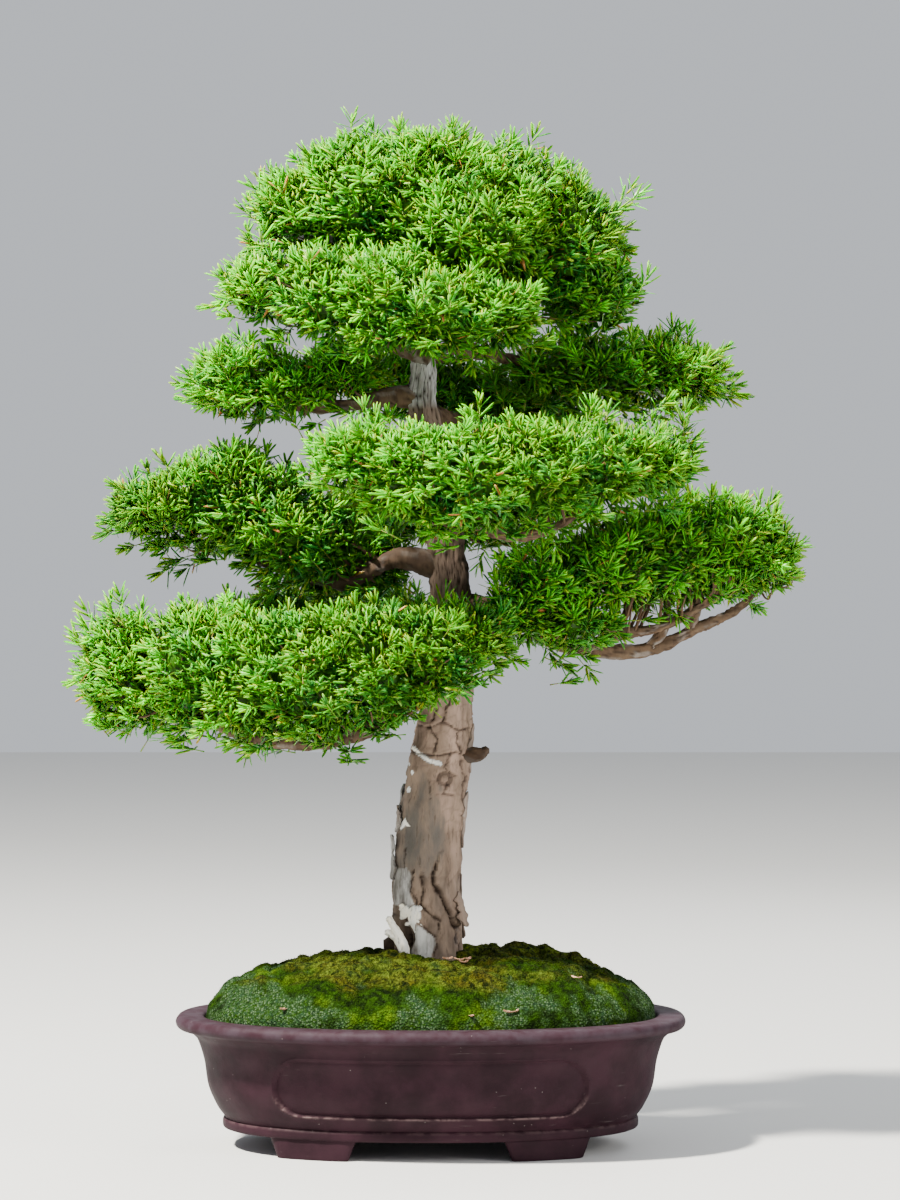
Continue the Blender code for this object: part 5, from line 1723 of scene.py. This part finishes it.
        # Painted sunlight: a pale band high on the trunk.
        pale = np.clip(pale + 0.42 * between(z, *PAINTED_SUN_BAND), 0, 1)
        worn = sum(tear.grey * mask for tear, mask in zip(TEARS, tears)) + smooth * 0.9
        # Painted light from the right: bark pinker on the right, more so low down, and greyer on the left;
        # the pink is partly the bark's own tone.
        right = smoothstep(x + 0.25 * (z - 0.26), -14 * MM, 8 * MM)
        lit = 0.25 * smoothstep(z, 0.255, 0.215) * right
        pink = 0.14 + 0.5 * right + lit + 0.28 * ripple(plain, 26 * MM, 7) + 0.4 * (tone - 0.5)
        scar = 0.6 * smoothstep(-knot, 0.1, 0.45)
        # The hollow is also painted dark as shade.
        crack = groove * keep + dark * zone * (1 - 0.6 * bald) + 0.85 * hollow * (1 - bald) + scar
        # Painted shade: darker bark in a band under the pads.
        shaded = 0.55 * between(z, *SHADED_BAND)
        plates = 0.42 * self.spot(plain, *DARK_PLATES) * front * (1 - pale)
        crack = np.maximum(np.maximum(np.clip(crack, 0, 1), shaded), plates)
        marks = joined(crack, pale, np.clip(worn + 0.35 * (1 - right), 0, 1), np.clip(pink, 0, 1))
        return loft(rings, rings[0].mean(axis=0), rings[-1].mean(axis=0) + (0, 0, 4 * MM), marks)

    @staticmethod
    def spot(points: Array, x: float, z: float, wide: float, tall: float) -> Array:
        """Mask of a soft-edged oval, with its middle and half-sizes in millimetres: 1 - x^2 - z^2, held.

        Args:
            points: Places in metres.
            x: The middle's place across.
            z: The middle's height.
            wide: Half the width.
            tall: Half the height.

        Returns:
            The mask.
        """
        across = (points[..., 0] - x * MM) / (wide * MM)
        along = (points[..., 2] - z * MM) / (tall * MM)
        ragged = 0.22 * ripple(points, 10 * MM, 3)
        return smoothstep(1.05 - (across ** 2 + along ** 2) + ragged, 0.0, 0.28)

    @staticmethod
    def knot(points: Array, x: float, z: float, radius: float) -> Array:
        """Rings round an old branch scar: a cosine of the distance that fades out.

        Args:
            points: Places in metres.
            x: The middle's place across, in millimetres.
            z: The middle's height, in millimetres.
            radius: The scar's radius, in millimetres.

        Returns:
            How far the rings stand out, from -1 to 1.
        """
        reach = np.hypot(points[..., 0] - x * MM, (points[..., 2] - z * MM) * 1.15) / (radius * MM)
        front = points[..., 1] < 0
        return np.cos(reach * 8.5) * np.exp(-(reach ** 2) * 1.6) * front

    def limb(self, name: str, skin: Skin) -> Patch:
        """One limb, root or bit of dead wood as a gnarled tube.

        Args:
            name: Which run it follows.
            skin: What covers it.

        Returns:
            Its closed surface: radius * (1 + knuckles + flutes) with plates, or with long fibres if bare.
        """
        points, bark = LIMBS[name], skin is Skin.BARK
        length = np.linalg.norm(np.diff(np.array(points)[:, :3], axis=0), axis=1).sum() * MM
        count = max(12, int(length / (self.limb_step if bark else self.bare_step)))
        run = curve_through(points, np.linspace(0, 1, count))
        angle, travelled = np.broadcast_arrays(full_turn(self.limb_columns if bark else self.bare_columns),
                                               np.linspace(0, length, count)[:, None])
        along = (run[:, 0] * 61 + run[:, 1] * 47 + run[:, 2] * 53)[:, None]
        lobes = 1 + 0.07 * np.sin(along) + 0.06 * np.sin(2 * angle + along * 0.7)
        knobs = 0.10 * np.clip(np.sin(travelled / (8.5 * MM) + 3 * np.sin(angle + 1)), 0, 1) ** 3 * bark
        slim = 1 - (1 - self.limb_slimness) * smoothstep(travelled, 10 * MM, 60 * MM) * bark
        radius = np.maximum(run[:, 3:] * slim, 0.9 * MM) * (lobes + knobs)
        circle = joined(travelled, np.cos(angle) * 14 * MM, np.sin(angle) * 14 * MM)
        if skin is Skin.BARE:
            fibre = np.sin(7 * angle + travelled / (5 * MM)) * 0.5 + ripple(circle, 5 * MM, 9)
            radius = radius + 0.45 * MM * fibre
            return tube(run[:, :3], radius, joined(smoothstep(-fibre, 0.9, 1.5) * 0.6, 1, 0, 0))
        relief, groove, tone = self.plate_relief(angle, travelled + 0.35, self.limb_radius)
        bumps = 0.6 * MM * ripple(circle, 12 * MM, 10) + 0.35 * MM * ripple(circle, 5 * MM, 15)
        # Painted shade darkens some limbs, by LIMB_SHADE.
        shade = LIMB_SHADE.get(name, 0.25) + 0.15 * ripple(circle, 20 * MM, 16)
        pale = 0.2 * (tone > 0.8) + 0.35 * (tone > 0.5) * (skin is Skin.ROOT)
        marks = joined(np.maximum(groove * 0.85, shade), pale, 0.15, 0.2 + 0.4 * tone)
        return tube(run[:, :3], radius + 0.7 * relief + bumps, marks)

    def flake(self, flake: Flake) -> Patch:
        """A loose plate of bark: a thin curved sheet off the trunk with ragged, lifted ends.

        Args:
            flake: Where it sits and how far it stands off.

        Returns:
            Its closed surface, as outer and inner sheets a millimetre apart.
        """
        rows, columns = self.flake_grid
        v, u = np.meshgrid(np.linspace(0, 1, rows), np.linspace(-1, 1, columns), indexing="ij")
        z = (flake.low + (flake.high - flake.low) * v) * MM
        taper = np.sqrt(np.clip(1.04 - np.abs(2 * v - 1) ** 2.6, 0.02, 1))
        torn = joined(v * 30, u * 2 + flake.angle)
        ragged = 1 + 0.28 * ripple(torn, 9.0, 11) + 0.12 * ripple(torn, 3.5, 13)
        half = flake.width / 2 * MM * taper * ragged / (29 * MM)
        angle = math.radians(flake.angle) - u * half + 0.05 * np.sin(v * 6 + flake.angle)
        lift = flake.lift_low * (1 - v) ** flake.sweep + flake.lift_high * v ** 2 + flake.curl * u ** 2 * 0.8
        rough = 0.3 * ripple(joined(u * 8, v * 30), 9.0, 12)
        outer = self.trunk_skin(angle, z, (0.9 + lift + rough) * MM)
        inner = self.trunk_skin(angle, z, (lift - 0.5) * MM)
        edge = np.maximum(np.abs(u) ** 8, np.abs(2 * v - 1) ** 12)
        marks = joined(0.35 * edge, flake.pale, 0.15, 0.5)
        return sheet_shell(outer[:, ::-1], inner[:, ::-1], marks[:, ::-1])

    @staticmethod
    def carriers(pad: str) -> Array:
        """Points, each with its radius, along the limbs of a pad, or the trunk's top for the crown.

        Args:
            pad: The pad's name.

        Returns:
            One point a row: x, y, z and radius in metres.
        """
        if not PAD_LIMBS[pad]:
            return curve_through(TRUNK, np.linspace(0.88, 1, 30))
        runs = [curve_through(LIMBS[name], np.linspace(0.25, 1, 40)) for name in PAD_LIMBS[pad]]
        return np.concatenate(runs)

    def branches(self, pad: str) -> list[Array]:
        """Middles of the fine branches of a pad, each a bent line from the nearest wood out to a clump.

        Args:
            pad: The pad's name.

        Returns:
            The roots, elbows, ends and radii of the branches.
        """
        rng = np.random.default_rng(self.seed + len(pad) + ord(pad[0]) + ord(pad[-1]))
        wood = self.carriers(pad)
        clumps = np.array(PADS[pad]) * MM
        per = PAD_BRANCHES.get(pad, self.branches_per_clump)
        way = np.concatenate([even_directions(per, rng.uniform(0, 6)) for _ in clumps])
        around = np.repeat(clumps, per, axis=0)
        ends = around[:, :3] + way * around[:, 3:] * rng.uniform(0.55, 0.82, (len(way), 1))
        gap = np.linalg.norm(ends[:, None, :] - wood[None, :, :3], axis=2)
        inwards = np.hypot(wood[:, 0], wood[:, 1])[None, :] * 0.45
        pick = np.argmin(gap + inwards + 9 * MM * rng.random(gap.shape), axis=1)
        roots = wood[pick, :3]
        elbows = (roots + ends) / 2 + (0, 0, -9 * MM) + rng.normal(0, 6 * MM, ends.shape)
        return [roots, elbows, ends, np.minimum(wood[pick, 3] * 0.42, 1.75 * MM)]

    def branchwork(self) -> Patch:
        """All the fine branches: tubes along the curve (1-t)^2 root + 2t(1-t) elbow + t^2 end.

        Returns:
            The branches as one surface.
        """
        found = [self.branches(pad) for pad in PADS]
        roots, elbows, ends, thick = (np.concatenate(part) for part in zip(*found))
        rows, sides = self.branch_grid
        t = np.linspace(0, 1, rows)[None, :, None]
        path = (1 - t) ** 2 * roots[:, None] + 2 * t * (1 - t) * elbows[:, None] + t ** 2 * ends[:, None]
        for size, sway in ((30, 1.8), (13, 1.1)):
            path = path + sway * MM * joined(*(ripple(path, size * MM, 40 + axis) for axis in range(3)))
        tangent = unit(np.gradient(path, axis=1))
        chord = unit(ends - roots)
        across = unit(np.cross(chord, np.where(np.abs(chord[:, 2:]) < 0.8, [[0, 0, 1.0]], [[1.0, 0, 0]])))
        side = unit(across[:, None] - tangent * (tangent * across[:, None]).sum(axis=-1, keepdims=True))
        other = np.cross(tangent, side)
        angle = full_turn(sides)[:, None]
        radius = np.maximum(thick[:, None] * (1 - 0.72 * t[..., 0]), 0.6 * MM)
        ring = np.cos(angle) * side[:, :, None] + np.sin(angle) * other[:, :, None]
        rings = path[:, :, None] + radius[..., None, None] * ring
        points = np.concatenate([rings.reshape(len(roots), -1, 3), path[:, :1] - tangent[:, :1] * 0.5 * MM,
                                 path[:, -1:] + tangent[:, -1:] * 1.5 * MM], axis=1)
        one = loft(rings[0], points[0, -2], points[0, -1])
        return repeated(points, one.quads, one.tris, joined(0.2, 0, 0, np.full(points.shape[:2], 0.45)))

    def build(self) -> None:
        """Make the trunk, the limbs and roots, the loose bark and the fine branches."""
        bark = BarkFinish().material(self.effects)
        brown = BarkFinish("limb_bark", (0.150, 0.098, 0.058), (0.050, 0.031, 0.019),
                           pink=(0.215, 0.125, 0.068)).material(self.effects)
        made_piece("trunk", self.trunk(), bark, ("tree_wood",), sharp=70.0)
        limbs = [self.limb(name, self.skin_of(name)) for name in LIMBS]
        made_piece("limbs", Patch.merged(limbs), brown, ("tree_wood",), sharp=70.0)
        made_piece("loose_bark", Patch.merged([self.flake(flake) for flake in FLAKES]), bark,
                   ("tree_wood",), sharp=50.0)
        made_piece("fine_branches", self.branchwork(), brown, sharp=70.0)

    @staticmethod
    def skin_of(name: str) -> Skin:
        """What covers a run of wood, by its name."""
        if name in BARE_WOOD:
            return Skin.BARE
        return Skin.ROOT if name in ROOTS else Skin.BARK


def wood_points() -> Array:
    """Points along the trunk and all limbs, each with its radius, in metres."""
    return np.concatenate([curve_through(run, np.linspace(0, 1, 40)) for run in [TRUNK, *LIMBS.values()]])


# Foliage.

@dataclass(frozen=True)
class Leaf:
    """A thin leaf's corners, as shares of its length, half-width and thickness, and its triangles."""

    corners: tuple
    faces: tuple


NEEDLE = Leaf(((0, 0, -1), (0.18, 0.9, 0), (0.18, -0.9, 0), (0.84, 0.8, 0), (0.84, -0.8, 0), (1, 0, -1)),
              ((0, 2, 1), (1, 2, 4), (1, 4, 3), (3, 4, 5), (0, 4, 2), (0, 5, 4), (0, 3, 5), (0, 1, 3)))
INNER_NEEDLE = Leaf(((0, 0, -1), (0.45, 1.55, 0), (0.45, -1.55, 0), (1, 0, -1)),
                    ((0, 2, 1), (1, 2, 3), (0, 3, 2), (0, 1, 3)))


@dataclass
class Foliage:
    """The pads of yew needles: leafy shoots on a dark inner body, painted shade for the inside, out to each
    pad's edge.
    """

    effects: Effects
    shoot_gap: float = 14.1 * MM
    needles: int = 13
    needle_length: float = 15.8 * MM
    needle_half_width: float = 1.35 * MM
    needle_thickness: float = 0.45 * MM
    stem_length: float = 18 * MM
    stem_radius: float = 0.75 * MM
    wood_clearance: float = 3 * MM
    shoot_sink: float = 6 * MM
    tuft: float = 48 * MM
    ruffle: float = 20 * MM
    leaders: float = 0.12
    thin_below: float = 0.5
    inner_inset: float = 17 * MM
    inner_gap: float = 13.5 * MM
    inner_sink: float = 4 * MM
    inner_needle_count: int = 6
    body_inset: float = 24 * MM
    body_grid: tuple = (12, 18)
    seed: int = 52

    def outside(self, pad: str, inset: float, gap: float, sink: float) -> tuple[Array, Array]:
        """Places spread over the outside of a pad.

        Args:
            pad: The pad's name.
            inset: How far inside its clumps' surface they lie.
            gap: Distance between two of them.
            sink: How deep inside a neighbouring clump one may still lie.

        Returns:
            The places and the outward directions there. Each clump gets as many as its area holds, by the
            usual close formula for an ellipsoid's area, less those that another clump hides.
        """
        own = np.array(PADS[pad]) * MM
        other = np.concatenate([np.array(group) for name, group in PADS.items() if name != pad]) * MM
        spots, normals, power = [], [], 1.6075
        for index, clump in enumerate(own):
            half = np.maximum(clump[3:] - inset, 8 * MM)
            a, b, c = half ** power
            area = 2 * TURN * ((a * b + a * c + b * c) / 3) ** (1 / power)
            way = even_directions(int(area / gap ** 2), index * 1.7)
            spot = clump[:3] + way * half
            around = np.concatenate([np.delete(own, index, axis=0), other])
            room = np.maximum(around[:, 3:] - inset - sink, 4 * MM)
            reach = (((spot[:, None] - around[:, :3]) / room) ** 2).sum(axis=2)
            hidden = (reach < 1).any(axis=1)
            spots.append(spot[~hidden])
            normals.append(unit(way / half)[~hidden])
        return np.concatenate(spots), np.concatenate(normals)

    def leafy_shoots(self, pad: str, rng: np.random.Generator) -> list[Patch]:
        """Shoots that reach the pad's edge, with their needles and stems.

        Args:
            pad: The pad's name.
            rng: Source of the random draws.

        Returns:
            The surfaces of the needles and of the stems.
        """
        spots, normals = self.outside(pad, 0.0, self.shoot_gap, self.shoot_sink)
        tufts = ripple(spots, self.tuft, self.seed + 2)
        pockets = 0.7 * smoothstep(-tufts, 0.8, 1.25)
        thin = THIN_BELOW.get(pad, self.thin_below)
        kept = rng.random(len(spots)) > pockets + thin * smoothstep(-normals[:, 2], 0.35, 0.8)
        spots, normals, tufts = spots[kept], normals[kept], tufts[kept]
        count = len(spots)
        depth = 0.65 * tufts + 0.5 * ripple(spots, 0.5 * self.tuft, self.seed + 8)
        spots = spots + normals * (self.ruffle * depth - 0.4 * self.ruffle)[:, None]
        lean = joined(*(ripple(spots, self.tuft, self.seed + seed) for seed in (3, 4, 5)))
        outward = unit(spots * (1, 1, 0) + 1e-9)
        under = np.clip(-normals[:, 2:], 0, 1)
        axis = normals * (1 - 0.45 * under) + outward * (0.26 + 0.5 * under)
        axis = axis + (0, 0, 0.55) * (1 - 0.8 * under) + 0.42 * lean
        axis = unit(axis + rng.normal(0, 0.27, (count, 3)))
        leader = rng.random((count, 1)) < self.leaders
        scale = np.where(leader, rng.uniform(1.25, 1.6, (count, 1)), rng.uniform(0.76, 1.12, (count, 1)))
        base = spots - axis * (self.stem_length + 7 * MM) * np.minimum(scale, 1.0)
        wood = wood_points()
        gap = np.linalg.norm(spots[:, None] - wood[:, :3], axis=2) - wood[:, 3]
        clear = gap.min(axis=1) > self.wood_clearance
        base, axis, scale, normals, spots, depth = (
            part[clear] for part in (base, axis, scale, normals, spots, depth))
        # Painted light: needles facing up, front and left, and on the tufts' peaks, are painted fresher and
        # brighter, those in the hollows darker.
        sunny = 0.38 + 0.30 * normals[:, 2] - 0.12 * normals[:, 1] - 0.14 * normals[:, 0] + 0.30 * depth
        middle, left, right = PAD_PAINTED_LIGHT.get(pad, (0, 0.0, 0.0))
        sunny += np.interp(base[:, 0], [(middle - 50) * MM, (middle + 50) * MM], [left, right])
        sunny += 0.2 * ripple(spots, 60 * MM, self.seed)
        youth_and_light = np.clip(sunny + rng.normal(0, 0.17, len(base)), 0, 1)
        return [self.needle_sprays(base, axis, scale, youth_and_light, rng), self.stems(base, axis, scale, youth_and_light)]

    def needle_sprays(self, base: Array, axis: Array, scale: Array, youth_and_light: Array,
                      rng: np.random.Generator) -> Patch:
        """Needles on a spiral up each stem, wide open low on it and closing towards its tip.

        Args:
            base: Where each shoot starts.
            axis: Its direction.
            scale: Its size.
            youth_and_light: How fresh its green is, with painted light, from 0 to 1.
            rng: Source of the random draws.

        Returns:
            The needles, each direction being cos(open) * axis + sin(open) * (cos a * side + sin a * other),
            pressed towards level on level shoots.
        """
        count, number = len(base), self.needles
        side = unit(np.cross(axis, rng.normal(size=(count, 3))))
        other = np.cross(axis, side)
        base, axis, side, other, scale = (part[:, None] for part in (base, axis, side, other, scale))
        index = np.arange(number)[:, None]
        share = (index + 0.5) / number
        turn = GOLDEN_TURN * index + rng.uniform(0, 6.3, (count, 1, 1))
        wide_open = np.radians(68 - 48 * share ** 1.6) + rng.normal(0, 0.14, (count, number, 1))
        way = np.cos(wide_open) * axis + np.sin(wide_open) * (np.cos(turn) * side + np.sin(turn) * other)
        upright = unit((0, 0, 1.0) - axis * axis[..., 2:])
        level = 0.8 * (1 - np.abs(axis[..., 2:]))
        way = unit(way - upright * (way * upright).sum(axis=-1, keepdims=True) * level)
        start = base + axis * (0.22 + 0.78 * share) * (self.stem_length * scale)
        long = self.needle_length * np.minimum(scale, 1.12) * (0.72 + 0.36 * np.sin(math.pi * share ** 0.8))
        long = long * rng.uniform(0.86, 1.1, (count, number, 1))
        top = unit(square_to(axis, way) + rng.normal(0, 0.25, (count, number, 3)))
        chance = rng.uniform(0, 1, (count, number))
        youth_and_light = np.repeat(youth_and_light[:, None], number, axis=1)
        return self.blades(start, way, top, long, NEEDLE, chance, youth_and_light, rng)

    def blades(self, start: Array, way: Array, top: Array, long: Array, leaf: Leaf,
               chance: Array, youth_and_light: Array, rng: np.random.Generator) -> Patch:
        """Place one thin leaf shape along many directions.

        Args:
            start: Roots of the needles.
            way: Their directions.
            top: About which way their upper face looks.
            long: Their lengths.
            leaf: The shape.
            chance: A random value for each needle.
            youth_and_light: How fresh its green is, with painted light.
            rng: Source of the random draws.

        Returns:
            All the needles as one surface.
        """
        start, way, top = (part.reshape(-1, 1, 3) for part in (start, way, top))
        long = long.reshape(-1, 1, 1)
        top = unit(square_to(top, way))
        side = np.cross(top, way)
        bend = rng.normal(0.04, 0.12, long.shape)
        along, wide, thick = (part[:, None] for part in np.array(leaf.corners).T)
        lift = thick * self.needle_thickness + bend * long * along ** 2
        points = start + way * along * long + side * wide * self.needle_half_width + top * lift
        marks = joined(chance.reshape(-1, 1), along[:, 0], 0, youth_and_light.reshape(-1, 1))
        return repeated(points, no_faces(4), np.array(leaf.faces), marks)

    def stems(self, base: Array, axis: Array, scale: Array, youth_and_light: Array) -> Patch:
        """A slim three-sided stem for each shoot, pointed at its tip.

        Args:
            base: Where each shoot starts.
            axis: Its direction.
            scale: Its size.
            youth_and_light: How fresh its green is, with painted light, from 0 to 1.

        Returns:
            The stems as one surface.
        """
        side = unit(np.cross(axis, (0.31, 0.17, 0.94)))
        tip = base + axis * (self.stem_length + 1 * MM) * scale
        points = spike_points(base - axis * 6 * MM, axis, side, self.stem_radius, tip)
        marks = joined(0, 0, 1, np.repeat(youth_and_light[:, None], 4, axis=1))
        return repeated(points, no_faces(4), SPIKE_FACES, marks)

    def inner_needles(self, pad: str, rng: np.random.Generator) -> Patch:
        """Older needles deeper in the pad, simple and dark, that hide its middle.

        Args:
            pad: The pad's name.
            rng: Source of the random draws.

        Returns:
            The needles as one surface.
        """
        spots, normals = self.outside(pad, self.inner_inset, self.inner_gap, self.inner_sink)
        each = (len(spots), self.inner_needle_count)
        way = unit(normals[:, None] * 0.9 + rng.normal(0, 0.75, (*each, 3)))
        start = np.repeat((spots - normals * 2 * MM)[:, None], self.inner_needle_count, axis=1)
        top = unit(normals[:, None] + rng.normal(0, 0.5, (*each, 3)))
        long = self.needle_length * rng.uniform(0.8, 1.15, (*each, 1))
        chance, youth_and_light = rng.uniform(0, 1, each), rng.uniform(0, 0.25, each)
        return self.blades(start, way, top, long, INNER_NEEDLE, chance, youth_and_light, rng)

    def inner_body(self, pad: str) -> Patch:
        """The dark middle of a pad, painted shade for the deep inside: lumpy balls whose radius is 1 + 0.16 *
        soft noise.

        Args:
            pad: The pad's name.

        Returns:
            The balls as one surface.
        """
        rows, columns = self.body_grid
        height, turn = np.linspace(-1, 1, rows)[1:-1, None], full_turn(columns)
        flat = np.sqrt(1 - height ** 2)
        ball = joined(flat * np.cos(turn), flat * np.sin(turn), height)
        marks = joined(0, 0, 0.5, np.zeros(ball.shape[:2]))
        parts = []
        for clump in np.array(PADS[pad]) * MM:
            middle, half = clump[:3], np.maximum(clump[3:] - self.body_inset, clump[3:] * 0.45)
            lumps = 1 + 0.16 * ripple(middle + ball * half, 26 * MM, 14)[..., None]
            poles = [middle + np.array([0, 0, way]) * half for way in (-1, 1)]
            parts.append(loft(middle + ball * half * lumps, *poles, marks))
        return Patch.merged(parts)

    def build(self) -> None:
        """Make each pad as one piece."""
        green = NeedleFinish().material(self.effects)
        for number, pad in enumerate(PADS):
            rng = np.random.default_rng(self.seed + number)
            patch = Patch.merged([*self.leafy_shoots(pad, rng), self.inner_needles(pad, rng),
                                  self.inner_body(pad)])
            made_piece("needles_" + pad, patch, green, ("foliage_" + pad,), sharp=180.0)


# Studio.

@dataclass(frozen=True)
class Lamp:
    """A square soft light: where it hangs, what it looks at, its side, its watts and its tint."""

    name: str
    place: Place
    target: Place
    size: float
    power: float
    tint: Colour

    def build(self) -> None:
        """Hang the light and turn it: tilt and heading are the angles of the line to what it looks at."""
        light = bpy.data.lights.new(self.name, "AREA")
        light.size = self.size
        light.energy = self.power
        light.color = self.tint
        lamp = placed(self.name, light)
        x, y, z = np.array(self.target) - np.array(self.place)
        lamp.location = self.place
        lamp.rotation_euler = (math.atan2(math.hypot(x, y), -z), 0, math.atan2(-x, y))


LAMPS = [
    Lamp("key", (-2.1, -1.55, 3.9), (-0.05, 0, 0.5), 0.34, 1040.0, (1.0, 0.96, 0.86)),
    Lamp("fill", (2.4, -1.6, 1.2), (0, 0, 0.5), 1.2, 58.0, (1.0, 0.97, 0.93)),
    Lamp("rim", (1.2, 2.2, 1.9), (0, 0, 0.55), 1.4, 34.0, (0.95, 0.98, 1.0)),
]


@dataclass
class Studio:
    """Plain pale floor, soft light from the upper left, and a level camera in front."""

    camera_distance: float = 3.5
    camera_height: float = 0.481
    lens: float = 118.7
    sensor_width: float = 36.0
    sky: Colour = (0.86, 0.90, 0.96)
    sky_strength: float = 0.72
    floor_half: float = 9.0
    floor_grey: Colour = (0.62, 0.62, 0.61)

    def build(self) -> None:
        """Set up the camera, the world, the lights and the floor."""
        camera = bpy.data.cameras.new("camera")
        camera.lens = self.lens
        camera.sensor_width = self.sensor_width
        camera.clip_end = 60.0
        view = placed("camera", camera)
        view.location = (0, -self.camera_distance, self.camera_height)
        view.rotation_euler = (math.radians(90), 0, 0)
        bpy.context.scene.camera = view
        world = bpy.data.worlds.new("soft_sky")
        world.use_nodes = True
        sky = world.node_tree.nodes["Background"]
        sky.inputs["Color"].default_value = (*self.sky, 1.0)
        sky.inputs["Strength"].default_value = self.sky_strength
        bpy.context.scene.world = world
        for lamp in LAMPS:
            lamp.build()
        self.floor()

    def floor(self) -> None:
        """A wide level floor, a plain pale grey."""
        half = self.floor_half
        corners = [(-half, -half, 0), (half, -half, 0), (half, half, 0), (-half, half, 0)]
        mesh = bpy.data.meshes.new("floor")
        mesh.from_pydata(corners, [], [(0, 1, 2, 3)])
        material = bpy.data.materials.new("floor")
        material.use_nodes = True
        shader = material.node_tree.nodes["Principled BSDF"]
        shader.inputs["Base Color"].default_value = (*self.floor_grey, 1.0)
        shader.inputs["Roughness"].default_value = 0.9
        mesh.materials.append(material)
        placed("floor", mesh)


def main() -> None:
    """Build the plant piece by piece."""
    logging.basicConfig(level=logging.INFO, format="%(message)s")
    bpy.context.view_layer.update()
    effects = Effects()
    parts = [kind(effects) for kind in (Pot, Drainage, MossBed, Wood, Foliage)]
    for part in [*parts, Studio()]:
        LOG.info("building %s", type(part).__name__)
        part.build()


if __name__ == "__main__":
    main()
